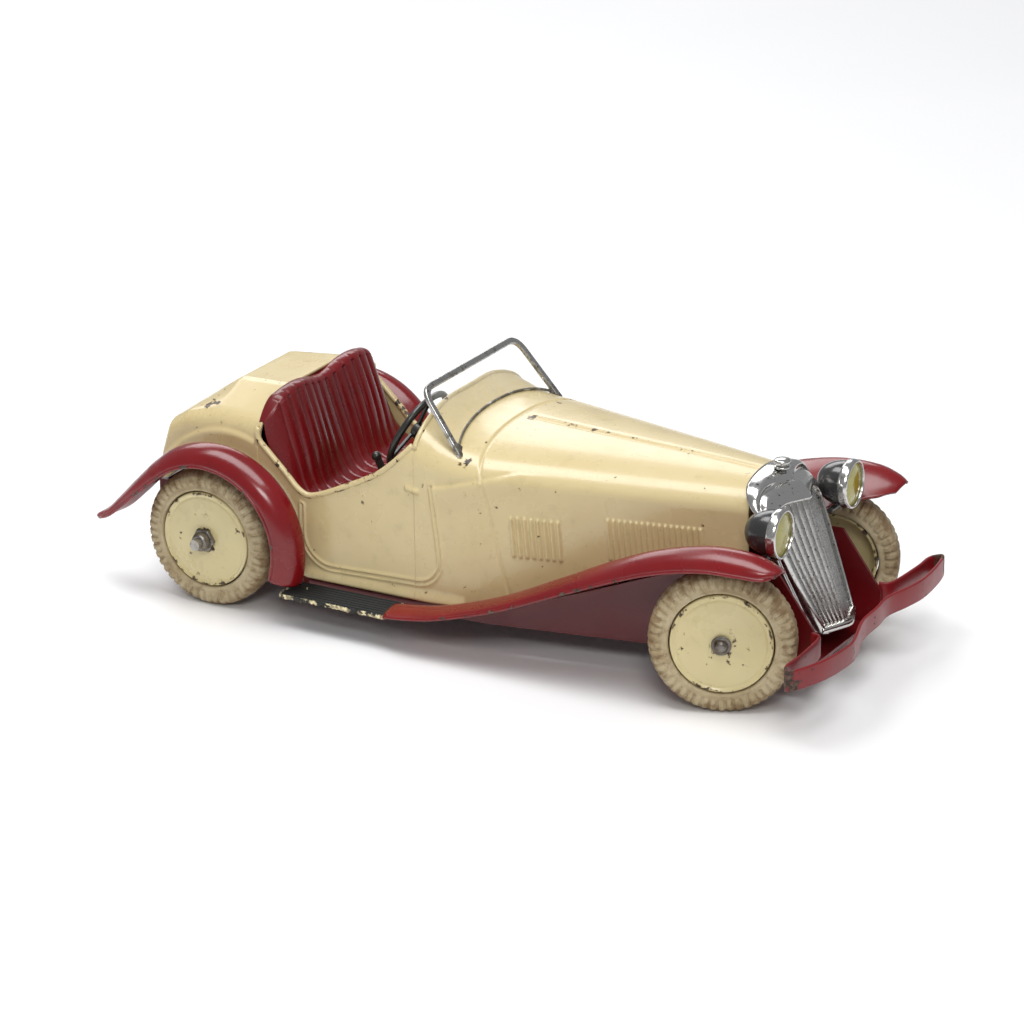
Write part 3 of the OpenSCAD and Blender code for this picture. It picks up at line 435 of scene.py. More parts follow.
RUBBER = perished_rubber()
LENS = tinted_glass()
PANE = old_celluloid()

# ---- body ------------------------------------------------------------

BODY_HALF_W = 29.5
BONNET_FRONT_HALF_W = 14.2
BONNET_END_X = 77
SCUTTLE_LIP_X = -13
BONNET_START_X = 7
SILL_Z = 11.5
SHEET_T = 0.8
SPRING_Z = 47        # of the scuttle's arch
HUMP_Y = 11          # middle of each hump of the scuttle's rear edge
MOULDING_RISE = 0.288

# x, crown, spring of the arch, lower edge, squareness of the arch
BONNET = [(-13, 61.7, 47, 11.5, 2.5), (-9, 60, 47, 11.5, 2.4), (-4, 57.8, 47, 11.8, 2.3),
          (4, 56.7, 47, 12.5, 2.2), (20, 56, 47, 16.5, 2.2), (45, 55.1, 46.5, 26.5, 2.2),
          (64, 54.3, 46, 32.6, 2.2), (77, 53.6, 45.5, 35.6, 2.2)]
DOOR = fillet([(-7.5, 44.1), (-4.9, 21.4), (-8.9, 16.4), (-42.4, 15.2), (-47.8, 20.5), (-47.7, 31.9)], 4)
HANDLE = (-13.4, 42)
LOUVRES = [(16, 28.4, 8, 27.6, 39.5), (41.5, 65.5, 17, 29.4, 41.5)]  # x0, x1, count, z0, z1


def bonnet_w(x):
    """Half width of the body at x."""
    t = np.clip((x - BONNET_START_X) / (BONNET_END_X - BONNET_START_X), 0, 1)
    return BODY_HALF_W + (BONNET_FRONT_HALF_W - BODY_HALF_W) * t


def ridge(distance, width):
    """A bell curve, 1 at distance 0."""
    return np.exp(-(distance / width) ** 2)


def distance_to(path, x, z):
    """Distance from each (x, z) to a polyline."""
    best = np.full(np.shape(x), 1e9)
    for (ax, az), (bx, bz) in zip(path[:-1], path[1:]):
        dx, dz = bx - ax, bz - az
        t = np.clip(((x - ax) * dx + (z - az) * dz) / (dx * dx + dz * dz + 1e-12), 0, 1)
        best = np.minimum(best, np.hypot(x - ax - t * dx, z - az - t * dz))
    return best


def step01(v, low, high):
    """Rises smoothly from 0 at low to 1 at high."""
    t = np.clip((v - low) / (high - low), 0, 1)
    return t * t * (3 - 2 * t)


def body_relief(x, y, z):
    """How far the pressed details stand proud of the body, in millimetres."""
    h = np.zeros(x.shape)
    side = np.abs(y) > bonnet_w(x) - 1.6
    # Door: a welt with a groove inside it
    d = distance_to(DOOR, x, z)
    h += side * (0.4 * ridge(d - 0.55, 0.5) - 0.42 * ridge(d + 0.1, 0.42))
    # Sill, flared out above the running board
    h += side * (x < 2) * 0.75 * step01(15.2 - z, 0, 3.4)
    # Moulding from the door's top corner, fading forward
    corner_x, corner_z = DOOR[0]
    below = corner_z + (x - corner_x) * MOULDING_RISE - z
    fade = step01(x, -8.5, -6.5) * (1 - step01(x, 4, 26))
    swell = 0.6 * step01(below, -0.3, 1.2) * (1 - step01(below, 1, 9))
    h += side * fade * (swell - 0.2 * ridge(below, 0.4))
    # Door handle
    along, up = x - HANDLE[0], z - HANDLE[1]
    h += side * 0.85 * ridge(np.maximum(np.abs(along) - 1.6, 0), 0.5) * ridge(up + along * 0.12, 0.65)
    # Lap between scuttle and bonnet
    shut = np.where(z < 48.8, 7.3 + (48.8 - z) * 0.2245, 7.3 - (z - 48.8) * 0.52)
    h += -0.34 * ridge(x - shut, 0.34) - 0.16 * step01(x, shut - 0.2, shut + 0.2)
    # Centre hinge, from the lap to the radiator
    hinge = step01(x, 6, 8) * (z > 50)
    h += hinge * (0.34 * ridge(y, 0.5) - 0.22 * ridge(np.abs(y) - 1.05, 0.35))
    # Louvres, leaning slightly back
    for x0, x1, count, z0, z1 in LOUVRES:
        lean = x + (z - z0) * 0.075
        pitch = (x1 - x0) / (count - 1)
        k = np.clip(np.round((lean - x0) / pitch), 0, count - 1)
        u = (lean - x0 - k * pitch) / pitch
        ends = step01(z, z0, z0 + 0.9) * (1 - step01(z, z1 - 0.9, z1))
        h += side * ends * np.where(np.abs(u) < 0.5, 0.8 * np.cos(np.pi * u) ** 2 - 0.12, 0)
    # Twin humps of the scuttle's rear edge
    h += (z > 52) * 0.45 * ridge(np.abs(y) - HUMP_Y, 6) * (1 - step01(x, SCUTTLE_LIP_X, -5))
    return h


def edge_wear(m, n, width, sides):
    """Wear that rises to 1 over width points next to a grid's edges: first row i, last row I, and j, J."""
    i, j = np.meshgrid(np.arange(m), np.arange(n), indexing="ij")
    far = {"i": i, "I": m - 1 - i, "j": j, "J": n - 1 - j}
    return np.clip(1 - np.min([far[s] for s in sides], axis=0) / width, 0, 1)


def bonnet_piece():
    rows = resample_rows(smooth_path(BONNET, 34), 330)
    side_steps, arch_steps = 84, 110
    a = np.radians(np.linspace(0, 180, arch_steps + 1))
    c, s = np.cos(a), np.sin(a)
    pts = []
    for x, crown, spring, low, square in rows:
        w = bonnet_w(x)
        arch_y = -np.sign(c) * w * np.abs(c) ** (2 / square)
        arch_z = spring + (crown - spring) * s ** (2 / square)
        up = np.linspace(low, spring, side_steps, endpoint=False)
        pts.append(np.concatenate([
            np.stack([np.full(side_steps, x), np.full(side_steps, -w), up], 1),
            resample(np.stack([np.full(len(a), x), arch_y, arch_z], 1), arch_steps),
            np.stack([np.full(side_steps, x), np.full(side_steps, w), up[::-1]], 1)]))
    p = np.array(pts)
    inside = np.array([20, 0, 30])
    h = body_relief(p[..., 0], p[..., 1], p[..., 2])
    p = p + normals(p, inside) * h[..., None]
    wear = 0.8 * edge_wear(*p.shape[:2], 4, "iI") * (p[..., 2] > 53)
    wear += 0.7 * ridge(p[..., 1], 0.9) * (p[..., 0] > 6) + 0.35 * ridge(p[..., 0] - 5, 3.5)
    # Rubbed through beside the windscreen's feet
    feet = [np.linalg.norm(p - [1, side * 26.2, 51.5], axis=2) for side in SIDES.values()]
    wear += 1.3 * ridge(np.minimum(*feet), 2.2)
    return thicken(grid("bonnet", p, CREAM, inside, np.clip(wear, 0, 1.5)), SHEET_T)


COCKPIT_EDGE = smooth_path([(-61.2, 51.5), (-61, 48), (-57.5, 44.3), (-52.9, 39.9), (-48.5, 35.6),
                            (-44.1, 34.9), (-34.4, 39), (-24.6, 44.1), (-19, 48.5), (-14, 53.5)], 10)
REAR_ARCH = np.array([-70.5, 20.0])
BODY_ARCH_R = 22.5


def inward(z):
    """How far the body's upper edge leans in towards the scuttle's arch."""
    s = np.clip((z - SPRING_Z) / 14.7, 0, 1)
    return BODY_HALF_W * (1 - (1 - s**2.5) ** 0.4)


def side_panel(side):
    arch = [REAR_ARCH + BODY_ARCH_R * np.array([math.cos(a), math.sin(a)])
            for a in np.radians(np.linspace(72, -18, 30))]
    lower = np.vstack([arch, [(-46.5, SILL_Z), (SCUTTLE_LIP_X, SILL_Z)]])
    upper = np.vstack([COCKPIT_EDGE, [(SCUTTLE_LIP_X, 54.2)]])
    n = 230
    low, high = resample(lower, n), resample(upper, n)
    # Ruled from the wheel arch and sill up to the cockpit edge
    t = np.linspace(0, 1, 90)[:, None, None]
    flat = low + (high - low) * t
    x, z = flat[..., 0], flat[..., 1]
    p = np.stack([x, side * (BODY_HALF_W - inward(z)), z], 2)
    inside = np.array([-35, 0, 30])
    p = p + normals(p, inside) * body_relief(x, p[..., 1], z)[..., None]
    wear = 0.9 * edge_wear(*p.shape[:2], 4, "I") + 0.35 * ridge(distance_to(DOOR, x, z), 0.8)
    return grid("side", p, CREAM, inside, wear)


# Rear deck: x, flat top's half width, its height, side's half width, shoulder, lower edge
DECK = [(-61, 13.6, 58.5, 28.8, 51.6, 40.4), (-69, 12.8, 58, 28, 51.4, 42.4),
        (-77, 12, 57.5, 27, 51, 41.5), (-82, 12.3, 54.2, 26.6, 50.6, 39.3),
        (-86.5, 12.6, 51.1, 26.4, 50.2, 35.8), (-92, 13, 47.5, 26.2, 46.9, 31),
        (-94.4, 13, 40, 26, 39.8, 30.4), (-95, 13, 30.6, 26, 30.5, 30.3)]


def deck_rows():
    rows = np.array(DECK, float)
    s = np.concatenate([[0], np.cumsum(np.hypot(np.diff(rows[:, 0]), np.diff(rows[:, 2])))])
    at = np.linspace(0, s[-1], 150)
    cols = np.stack([np.interp(at, s, rows[:, k]) for k in range(6)], 1)
    kernel = ridge(np.linspace(-2, 2, 9), 1)
    kernel /= kernel.sum()
    soft = np.stack([np.convolve(np.pad(cols[:, k], 4, "edge"), kernel, "valid") for k in range(6)], 1)
    soft[0] = cols[0]
    return soft


def deck_piece():
    pts = []
    for x, top_w, top_z, side_w, shoulder_z, low_z in deck_rows():
        half = fillet([(top_w, top_z), (side_w, shoulder_z), (side_w + 0.2, low_z)], 4.5, 8)
        half = np.vstack([resample([(0, top_z), (top_w, top_z)], 30), resample(half, 61)[1:]])
        pts.append(np.array([(x, -y, z) for y, z in half[::-1]] + [(x, y, z) for y, z in half[1:]]))
    p = np.array(pts)
    inside = np.array([-75, 0, 40])
    x, y, z = p[..., 0], p[..., 1], p[..., 2]
    # Crease along each side of the flat top, which narrows to the rear
    crease = np.abs(y) - DECK[0][1] + (DECK[0][0] - x) * 0.09
    h = -0.22 * ridge(crease, 0.35) * (x > -77.6)
    # Lip pressed out above the wheel arch
    arch_d = np.hypot(x - REAR_ARCH[0], z - REAR_ARCH[1]) - (BODY_ARCH_R + 5.6)
    h += (np.abs(y) > 25) * 0.7 * step01(-arch_d, -0.8, 0.8)
    p = p + normals(p, inside) * h[..., None]
    wear = 0.55 * ridge(crease, 0.9) * (x > -78)
    wear += 0.5 * ridge(x + 81, 1.2) + 1.1 * ridge(np.hypot(x + 80, np.abs(y) - 23), 3.2)
    return thicken(grid("deck", p, CREAM, inside, wear), SHEET_T)


def rolled_edge(name, path, radius, material, wear):
    """A wire-rolled edge along a path in space."""
    p = resample(path, max(30, len(path)))
    return sweep(name, p, circle_profile(radius), (0.02, 0.03, 1), material, np.full(len(p), wear))


def body():
    parts = [bonnet_piece(), deck_piece()]
    for side in SIDES.values():
        panel = side_panel(side)
        thicken(panel, SHEET_T)
        parts.append(panel)
        edge = COCKPIT_EDGE[2:]
        path = np.stack([edge[:, 0], side * (BODY_HALF_W - inward(edge[:, 1]) - 0.35), edge[:, 1]], 1)
        parts.append(rolled_edge("cockpit_edge", path, 0.85, CREAM, 0.75))
    a = np.radians(np.linspace(0, 180, 80))
    w = BODY_HALF_W - 0.3
    lip = np.stack([np.full(80, SCUTTLE_LIP_X - 0.2), -np.sign(np.cos(a)) * w * np.abs(np.cos(a)) ** 0.8,
                    SPRING_Z + 14.5 * np.sin(a) ** 0.8], 1)
    lip = lip[lip[:, 2] > 52.5]
    lip[:, 2] += 0.4 * ridge(np.abs(lip[:, 1]) - HUMP_Y, 6)
    parts.append(rolled_edge("scuttle_edge", lip, 0.8, CREAM, 0.5))
    for obj in parts:
        apply_modifiers(obj)
    return piece(join("body_shell_detailed", parts), "car", "cream_enamel", "body_shell")


def apply_modifiers(obj):
    if not obj.modifiers:
        return
    shown = obj.evaluated_get(bpy.context.evaluated_depsgraph_get())
    mesh = bpy.data.meshes.new_from_object(shown)
    obj.modifiers.clear()
    obj.data = mesh


body()

# ---- wings and running boards ----------------------------------------

WING_CROWN_Y = 35.5
WING_HALF_W = 42.0
TAIL_X = -110.0
NOSE_X = 110.0

# x and z of the crown, inner edge, outer edge, fall to the outer and inner edges
FRONT_WING = [(-16, 11.6, 30, 42, 1.6, 1.8), (-2, 13.8, 29.9, 42, 1.8, 2.4),
              (16, 19.8, 28, 42, 2.2, 4), (34, 28.3, 23.8, 42, 3, 6.4),
              (49.5, 36, 20.6, 42, 4, 8), (63, 41.6, 18.4, 42, 4.6, 9),
              (77, 45, 17.8, 42, 4.8, 9.2), (88, 45.3, 24, 41.8, 4.6, 6.6),
              (94.5, 43.7, 27.8, 40.4, 3.6, 4), (97.6, 42, 31.5, 38, 1.6, 1.8)]
REAR_WING_R = 27


def rear_wing_rows():
    rows = []
    for a in np.arange(-18, 127, 4.5):
        u = (a + 18) / 144
        at = REAR_ARCH + REAR_WING_R * np.array([math.cos(math.radians(a)), math.sin(math.radians(a))])
        rows.append((*at, 30, WING_HALF_W, 6.6 - 1.9 * u, 4.4 - 1.4 * u))
    tail = smooth_path([(-90.6, 38.3, 29.5, 41.7, 4.3, 3), (-96, 32.9, 28.5, 41, 3.6, 2.6),
                        (-101, 27.7, 28, 40, 2.8, 2.2), (-105.5, 23.2, 28.6, 39, 2, 1.8),
                        (TAIL_X + 0.3, 20.4, 31, 37, 1.2, 1.2)], 8)
    return resample_rows(np.vstack([rows, tail]), 130)


def wing_points(rows, turn):
    """Surface points across each row of a wing: up from the body, over the crown, down."""
    d = np.gradient(rows[:, :2], axis=0)
    d /= np.linalg.norm(d, axis=1, keepdims=True)
    out = turn * np.stack([-d[:, 1], d[:, 0]], 1)
    pts = []
    for (x, z, y_in, y_out, drop, in_drop), (nx, nz) in zip(rows, out):
        w_in, w_out = WING_CROWN_Y - y_in, y_out - WING_CROWN_Y
        section = smooth_path([
            (y_in, -in_drop), (y_in + 0.35 * w_in, -0.62 * in_drop), (y_in + 0.7 * w_in, -0.2 * in_drop),
            (WING_CROWN_Y, 0), (WING_CROWN_Y + 0.42 * w_out, -0.12 * drop),
            (WING_CROWN_Y + 0.76 * w_out, -0.42 * drop), (y_out - 0.45, -0.8 * drop),
            (y_out - 0.5, -drop)], 4)
        pts.append(np.stack([x + nx * section[:, 1], section[:, 0], z + nz * section[:, 1]], 1))
    return np.array(pts)


def wing(name, rows, turn, side, inside, node):
    p = mirrored(wing_points(rows, turn), side)
    wear = 0.85 * edge_wear(*p.shape[:2], 3, "IJ")
    skin = thicken(grid(name, p, RED, mirrored(inside, side), wear), SHEET_T)
    apply_modifiers(skin)
    edge = (p[:, -1] + [0, -side * 0.1, 0.1])[::2]
    bead = sweep("bead", edge, circle_profile(0.5, 8), (0, side, 0.05), RED, np.full(len(edge), 0.9))
    return piece(join(name, [skin, bead]), "car", "red_enamel", node)


FRONT_ROWS = resample_rows(smooth_path(FRONT_WING, 12), 130)
REAR_ROWS = rear_wing_rows()
for where, side in SIDES.items():
    wing(f"front_wing_pressing_{where}", FRONT_ROWS, 1, side, (60, 33, -60), f"front_wing_{where}")
    wing(f"rear_wing_pressing_{where}", REAR_ROWS, -1, side, (-78, 33, 8), f"rear_wing_{where}")


BOARD_TOP_Z = 10.0
BOARD_RIBS = 6


def running_board(where, side):
    low, high = box_mm(f"running_board_{where}")
    y0, y1 = sorted((abs(low[1]), abs(high[1])))
    top = BOARD_TOP_Z
    y = np.linspace(y0, y1, 96)
    flange = slice(95, 99)
    wave = np.cos((y - y0 - 1.0) / (y1 - y0 - 1.6) * BOARD_RIBS * 2 * math.pi)
    z = top + 0.5 * np.maximum(0, wave) ** 0.7
    z = np.where(y < y0 + 0.8, top, z)
    section = np.vstack([np.stack([y, z], 1), [(y1, top - 0.3), (y1, top - 1.2), (y1 - 0.6, top - 1.2),
                                               (y1 - 0.6, top - 0.95), (y0, top - 0.95)]])
    x = np.linspace(low[0], high[0], 60)
    p = np.array([[(a, side * b, c) for b, c in section] for a in x])
    wobble = rng.normal(0, 0.16, len(x))
    # The outer flange is knocked about
    p[:, flange, 2] += wobble[:, None]
    p[:, flange, 1] -= side * np.abs(wobble)[:, None]
    wear = np.zeros(p.shape[:2])
    wear[:, flange] = 1.3
    wear[[0, 1, -2, -1]] = 0.9
    obj = grid(f"running_board_ribbed_{where}", p, BOARD, wear=wear, wrap=(False, True))
    cap_ends(obj, *p.shape[:2])
    return piece(obj, "car", "black_enamel", f"running_board_{where}")


for where, side in SIDES.items():
    running_board(where, side)

# ---- bumper ----------------------------------------------------------

BUMPER_END_Y = 44.0
BUMPER_T = 0.9
BUMPER_LEG = [(12.2, 19.3), (9.2, 21.4), (8.2, 34), (8.3, 40.5), (7.3, 43.3), (5.6, BUMPER_END_Y)]
BUMPER_FRONT = [(4, 37), (3.2, 27), (4.2, 19.3), (5.9, 11.5), (5.2, 3.8), (4.6, -5.5), (1.4, -16.5),
                (BUMPER_T / 2, -22.5), (1.7, -34)]


def bumper():
    low, high = box_mm("front_bumper")
    half = BUMPER_LEG + BUMPER_FRONT + [(b, -y) for b, y in BUMPER_LEG[::-1]]
    path = smooth_path([(NOSE_X - back, y, (low[2] + high[2]) / 2) for back, y in half], 10)
    profile = ring_profile(BUMPER_T / 2, (high[2] - low[2]) / 2, 0.4)
    ends = ridge((np.abs(path[:, 1]) - BUMPER_END_Y) / 2.2, 1) * 1.25
    obj = sweep("bumper_strip", path, profile, (0, 0, 1), BUMPER_RED, ends + 0.2)
    return piece(obj, "car", "bumper_red", "front_bumper")


bumper()

# ---- radiator --------------------------------------------------------

RAKE = 0.358
VEE = 0.44
RIDGE_X = 104.9
RAD_FOOT_Z = 15.2
RAD_SPRING_Z = 45
RAD_CROWN_H = 7.2
SHELL_BEND_X = 78.3
GRILLE_RIBS = 7      # in each half
RAD_HALF = smooth_path([(9, RAD_FOOT_Z), (10.2, 19.6), (11.6, 26), (12.8, 33), (13.7, 40), (14.2, 45),
                        (13.4, 48.6), (10.4, 51), (5.5, 51.9), (0, 52.2)], 8)


def crown_u(z):
    """0 where the radiator's crown springs, 1 at its top."""
    return np.clip((z - RAD_SPRING_Z) / RAD_CROWN_H, 0, 1)


def rad_grow(y, z, d):
    """The outline point moved out by d: sideways below, radially round the crown."""
    rise = np.maximum(z - 40, 0) * 1.1
    n = np.maximum(np.hypot(y, rise), 1e-6)
    over = z > 40
    return (y + d * np.where(over, y / n, np.sign(y)), z + d * np.where(over, rise / n, 0))


def face_x(y, z):
    """The radiator's raked and veed front face, falling back at the crown."""
    return RIDGE_X + 0.8 - RAKE * z - VEE * np.abs(y) - 2.4 * crown_u(z) ** 2


def radiator_shell():
    outline = resample(np.vstack([RAD_HALF * [-1, 1], RAD_HALF[-2::-1]]), 130)
    y, z = outline[:, 0], outline[:, 1]
    u = crown_u(z)
    front = face_x(y, z)
    rear = np.where(z > RAD_SPRING_Z, 80.5 - 6.3 * u,
                    90.6 - 10.1 * (z - RAD_FOOT_Z) / (RAD_SPRING_Z - RAD_FOOT_Z))
    rise = 1.1 * u
    bend = np.maximum(rear + 0.5, SHELL_BEND_X)
    rings = []
    for x, grow in ((rear, 1.3 + rise), (bend, 1.3 + rise), (bend + (front - bend) * 0.4, 0.9 + 0.6 * rise),
                    (front - 1.9, 0.25)):
        rings.append(np.stack([x, *rad_grow(y, z, grow)], 1))
    # The face is a narrow rim at the sides and a broad panel above the grille's arches
    broad = 1 + 1.9 * u**0.7
    for back, grow in ((0.9, -0.05), (0.3, -0.5), (0.05, -0.9), (0.05, -1.25), (0.4, -1.5), (1.4, -1.65),
                       (2.4, -1.7)):
        gy, gz = rad_grow(y, z, grow * (broad if grow < -0.6 else 1))
        rings.append(np.stack([face_x(gy, gz) - back, gy, gz], 1))
    p = np.array(rings)
    p = np.stack([smooth_path(p[:, k], 4) for k in range(p.shape[1])], 1)
    wear = np.clip(0.6 * edge_wear(*p.shape[:2], 3, "i") + 0.5 * (p[..., 2] < 18), 0, 1)
    shell = grid("shell", p, CHROME, (70, 0, 35), wear)
    # Foot of the surround, between the two sides
    foot_y = np.linspace(-8.6, 8.6, 40)
    foot_x = RIDGE_X - 0.9 - RAKE * RAD_FOOT_Z - VEE * np.sqrt(foot_y**2 + 0.5)
    foot = sweep("foot", np.stack([foot_x, foot_y, np.full_like(foot_y, RAD_FOOT_Z + 0.7)], 1),
                 ring_profile(1.5, 0.8, 0.6), (0, 0, 1), CHROME, np.full_like(foot_y, 0.8))
    thicken(shell, 0.5)
    apply_modifiers(shell)
    return piece(join("radiator_shell_polished", [shell, foot]), "car", "plated_steel", "radiator_shell")


def radiator_grille():
    """Two flat halves meeting at the ridge, each with an arched top and upright ribs."""
    t = np.linspace(-1, 1, 281)
    v = np.linspace(0, 1, 140)[:, None]
    top = 44.6 + 5.6 * np.sqrt(np.maximum(0, 1 - np.abs(np.abs(t) * 1.06 - 0.12) ** 2.4))
    z = RAD_FOOT_Z + 0.6 + v * (top - RAD_FOOT_Z - 0.6)
    half = np.interp(z, RAD_HALF[:, 1], RAD_HALF[:, 0]) - 1.3
    y = t * half
    x = face_x(y, z) - 1.3
    rib = np.abs(np.sin(math.pi * GRILLE_RIBS * np.abs(t))) ** 0.7
    ends = step01(v, 0, 0.03) * (1 - step01(v, 0.965, 1))
    x = x - 1.15 + 1.05 * rib * ends
    border = np.maximum(1 - ends, step01(np.abs(t), 0.965, 1) * np.ones_like(z))
    x = x + 0.9 * border * (1 - rib * ends)
    obj = grid("radiator_grille_ribbed", np.stack([x, y, z], 2), GRILLE, (60, 0, 35), 0.5 * border)
    thicken(obj, 0.8)
    return piece(obj, "car", "grille_plate", "radiator_grille")


def radiator_cap():
    low, high = box_mm("radiator_cap")
    place = frame_along(((low[0] + high[0]) / 2, 0, low[2]), (0, 0, 1))
    profile = fillet([(0.01, 2.6), (1.2, 2.5), (2.1, 2.2), (2.3, 1.7), (2.1, 1.2), (1.2, 1.0), (1.2, 0.7),
                      (2.2, 0.5), (2.2, 0), (0.01, 0)], 0.25)
    obj = lathe("radiator_cap_turned", profile, place, CHROME, 48, np.full(len(profile), 0.7))
    return piece(obj, "car", "plated_steel", "radiator_cap")


radiator_shell()
radiator_grille()
radiator_cap()

# ---- headlamps -------------------------------------------------------

LAMP_YAW = 3.5       # degrees to the car's left
GLASS_R = 5.62


def headlamp(where):
    low, high = box_mm(f"headlamp_lens_{where}")
    centre = ((low[0] + high[0]) / 2 - 0.5, (low[1] + high[1]) / 2, (low[2] + high[2]) / 2)
    yaw = math.radians(LAMP_YAW)
    place = frame_along(centre, (math.cos(yaw), math.sin(yaw), 0))
    bowl = smooth_path([(0.01, -10), (1.6, -9.8), (3.4, -8.9), (4.8, -7.2), (5.6, -5.2), (5.95, -3.4),
                        (6, -2.2)], 5)
    piece(lathe(f"lamp_bowl_{where}", bowl, place, LAMP_BLACK, 72), "car", "lamp_black",
          f"headlamp_bowl_{where}")
    rim = fillet([(5.6, -2.2), (6.3, -2.2), (6.65, -1.5), (6.65, -0.3), (6.35, 0.45), (5.8, 0.62), (5.6, 0.1),
                  (5.6, -1.5)], 0.3, 5)
    piece(lathe(f"lamp_rim_{where}", rim, place, CHROME, 96, np.full(len(rim), 0.35)), "car", "plated_steel",
          f"headlamp_rim_{where}")
    r = np.linspace(0.01, GLASS_R, 28)
    glass = np.stack([r, 0.75 * (1 - (r / GLASS_R) ** 2) - 0.35], 1)
    piece(lathe(f"lamp_glass_{where}", glass, place, LENS, 72), "car", "lamp_glass", f"headlamp_lens_{where}")


for where in SIDES:
    headlamp(where)

# ---- windscreen ------------------------------------------------------

SCREEN_FOOT = np.array([0.9, 0.0, 50.4])
SCREEN_LEAN = math.radians(38.3)
SCREEN_H = 23.0
SCREEN_HALF_W = (26.9, 24.6)
BAR_W = 1.7
SCREEN_UP = np.array([-math.sin(SCREEN_LEAN), 0, math.cos(SCREEN_LEAN)])
SCREEN_OUT = np.array([math.cos(SCREEN_LEAN), 0, math.sin(SCREEN_LEAN)])


def in_screen(u, v, lift=0.0):
    """Points at u to the car's left and v up the windscreen, lift in front of it."""
    u, v = np.asarray(u, float), np.asarray(v, float)
    across = np.stack([np.zeros_like(u), u, np.zeros_like(u)], -1)
    return SCREEN_FOOT + across + v[..., None] * SCREEN_UP + lift * SCREEN_OUT


def scuttle_v(u):
    """How far up the windscreen its plane leaves the scuttle, at u across."""
    g = np.maximum(0, 1 - (np.abs(u) / BODY_HALF_W) ** 2.25) ** (1 / 2.25)
    return (10.13 * g - 3.4) / (0.785 - 0.085 * g)


def windscreen():
    foot_w, top_w = SCREEN_HALF_W
    inset = BAR_W / 2
    side_u = foot_w - inset
    start_v = scuttle_v(np.array(side_u)) - 0.6
    top_v = SCREEN_H - inset
    half = fillet([(side_u - 0.2, start_v), (top_w - inset, top_v), (0, top_v)], 4.2, 10)
    line = resample(np.vstack([half * [-1, 1], half[-2::-1]]), 150)
    wear = np.clip(0.4 + 0.5 * (line[:, 1] < 9), 0, 1)
    bars = sweep("bars", in_screen(line[:, 0], line[:, 1]), ring_profile(0.9, 0.64, 0.4), SCREEN_OUT,
                 SCREEN, wear)
    parts = [bars]
    for s in SIDES.values():
        v0 = start_v - 0.1
        outline = [(side_u - 0.4, v0 - 0.9), (side_u - 0.2, v0 + 6.2), (side_u - 2.9, v0 + 2.2),
                   (side_u - 2.6, v0 + 0.2)]
        uv = np.array(outline) * [s, 1]
        n = len(uv)
        verts = np.vstack([in_screen(uv[:, 0], uv[:, 1], 0.35), in_screen(uv[:, 0], uv[:, 1], -0.35)])
        faces = [tuple(range(n)), tuple(range(2 * n - 1, n - 1, -1))]
        faces += [(k, n + k, n + (k + 1) % n, (k + 1) % n) for k in range(n)]
        parts.append(add_mesh("gusset", verts, faces, SCREEN, np.full(2 * n, 1.6), False))
    u = np.linspace(-side_u, side_u, 90)
    base = in_screen(u, scuttle_v(u) + 0.75)
    parts.append(sweep("base", base, ring_profile(0.3, 0.3, 0.1), (0.3, 0, 1), SCREEN, np.full_like(u, 1.5)))
    piece(join("windscreen_channel", parts), "car", "plated_steel", "windscreen_frame")
    u = np.linspace(-1, 1, 80)
    t = np.linspace(0, 1, 30)
    low = scuttle_v(u * side_u) + 0.9
    top = SCREEN_H - np.interp(np.abs(u), [0, 0.84, 0.93, 1], [1.2, 1.2, 1.9, 4.6])
    v = low[None] + (top - low)[None] * t[:, None]
    width = side_u - (side_u - top_w + inset) * v / SCREEN_H
    pane = grid("windscreen_sheet", in_screen(u[None] * (width - 0.1), v), PANE, (-20, 0, 40))
    piece(thicken(pane, 0.3), "car", "celluloid", "windscreen_pane")


windscreen()

# ---- seat ------------------------------------------------------------

SEAT_HALF_W = 27.6
CUSHION_Z = 31.4
BACK_H = 24
SEAT_PATH = smooth_path([(-33.5, CUSHION_Z), (-42, CUSHION_Z), (-48, 32), (-51, 35.5),
                         (-53.4, 42), (-55.8, 49), (-58, 55.5)], 14)
PLEATS = 7           # in each bucket


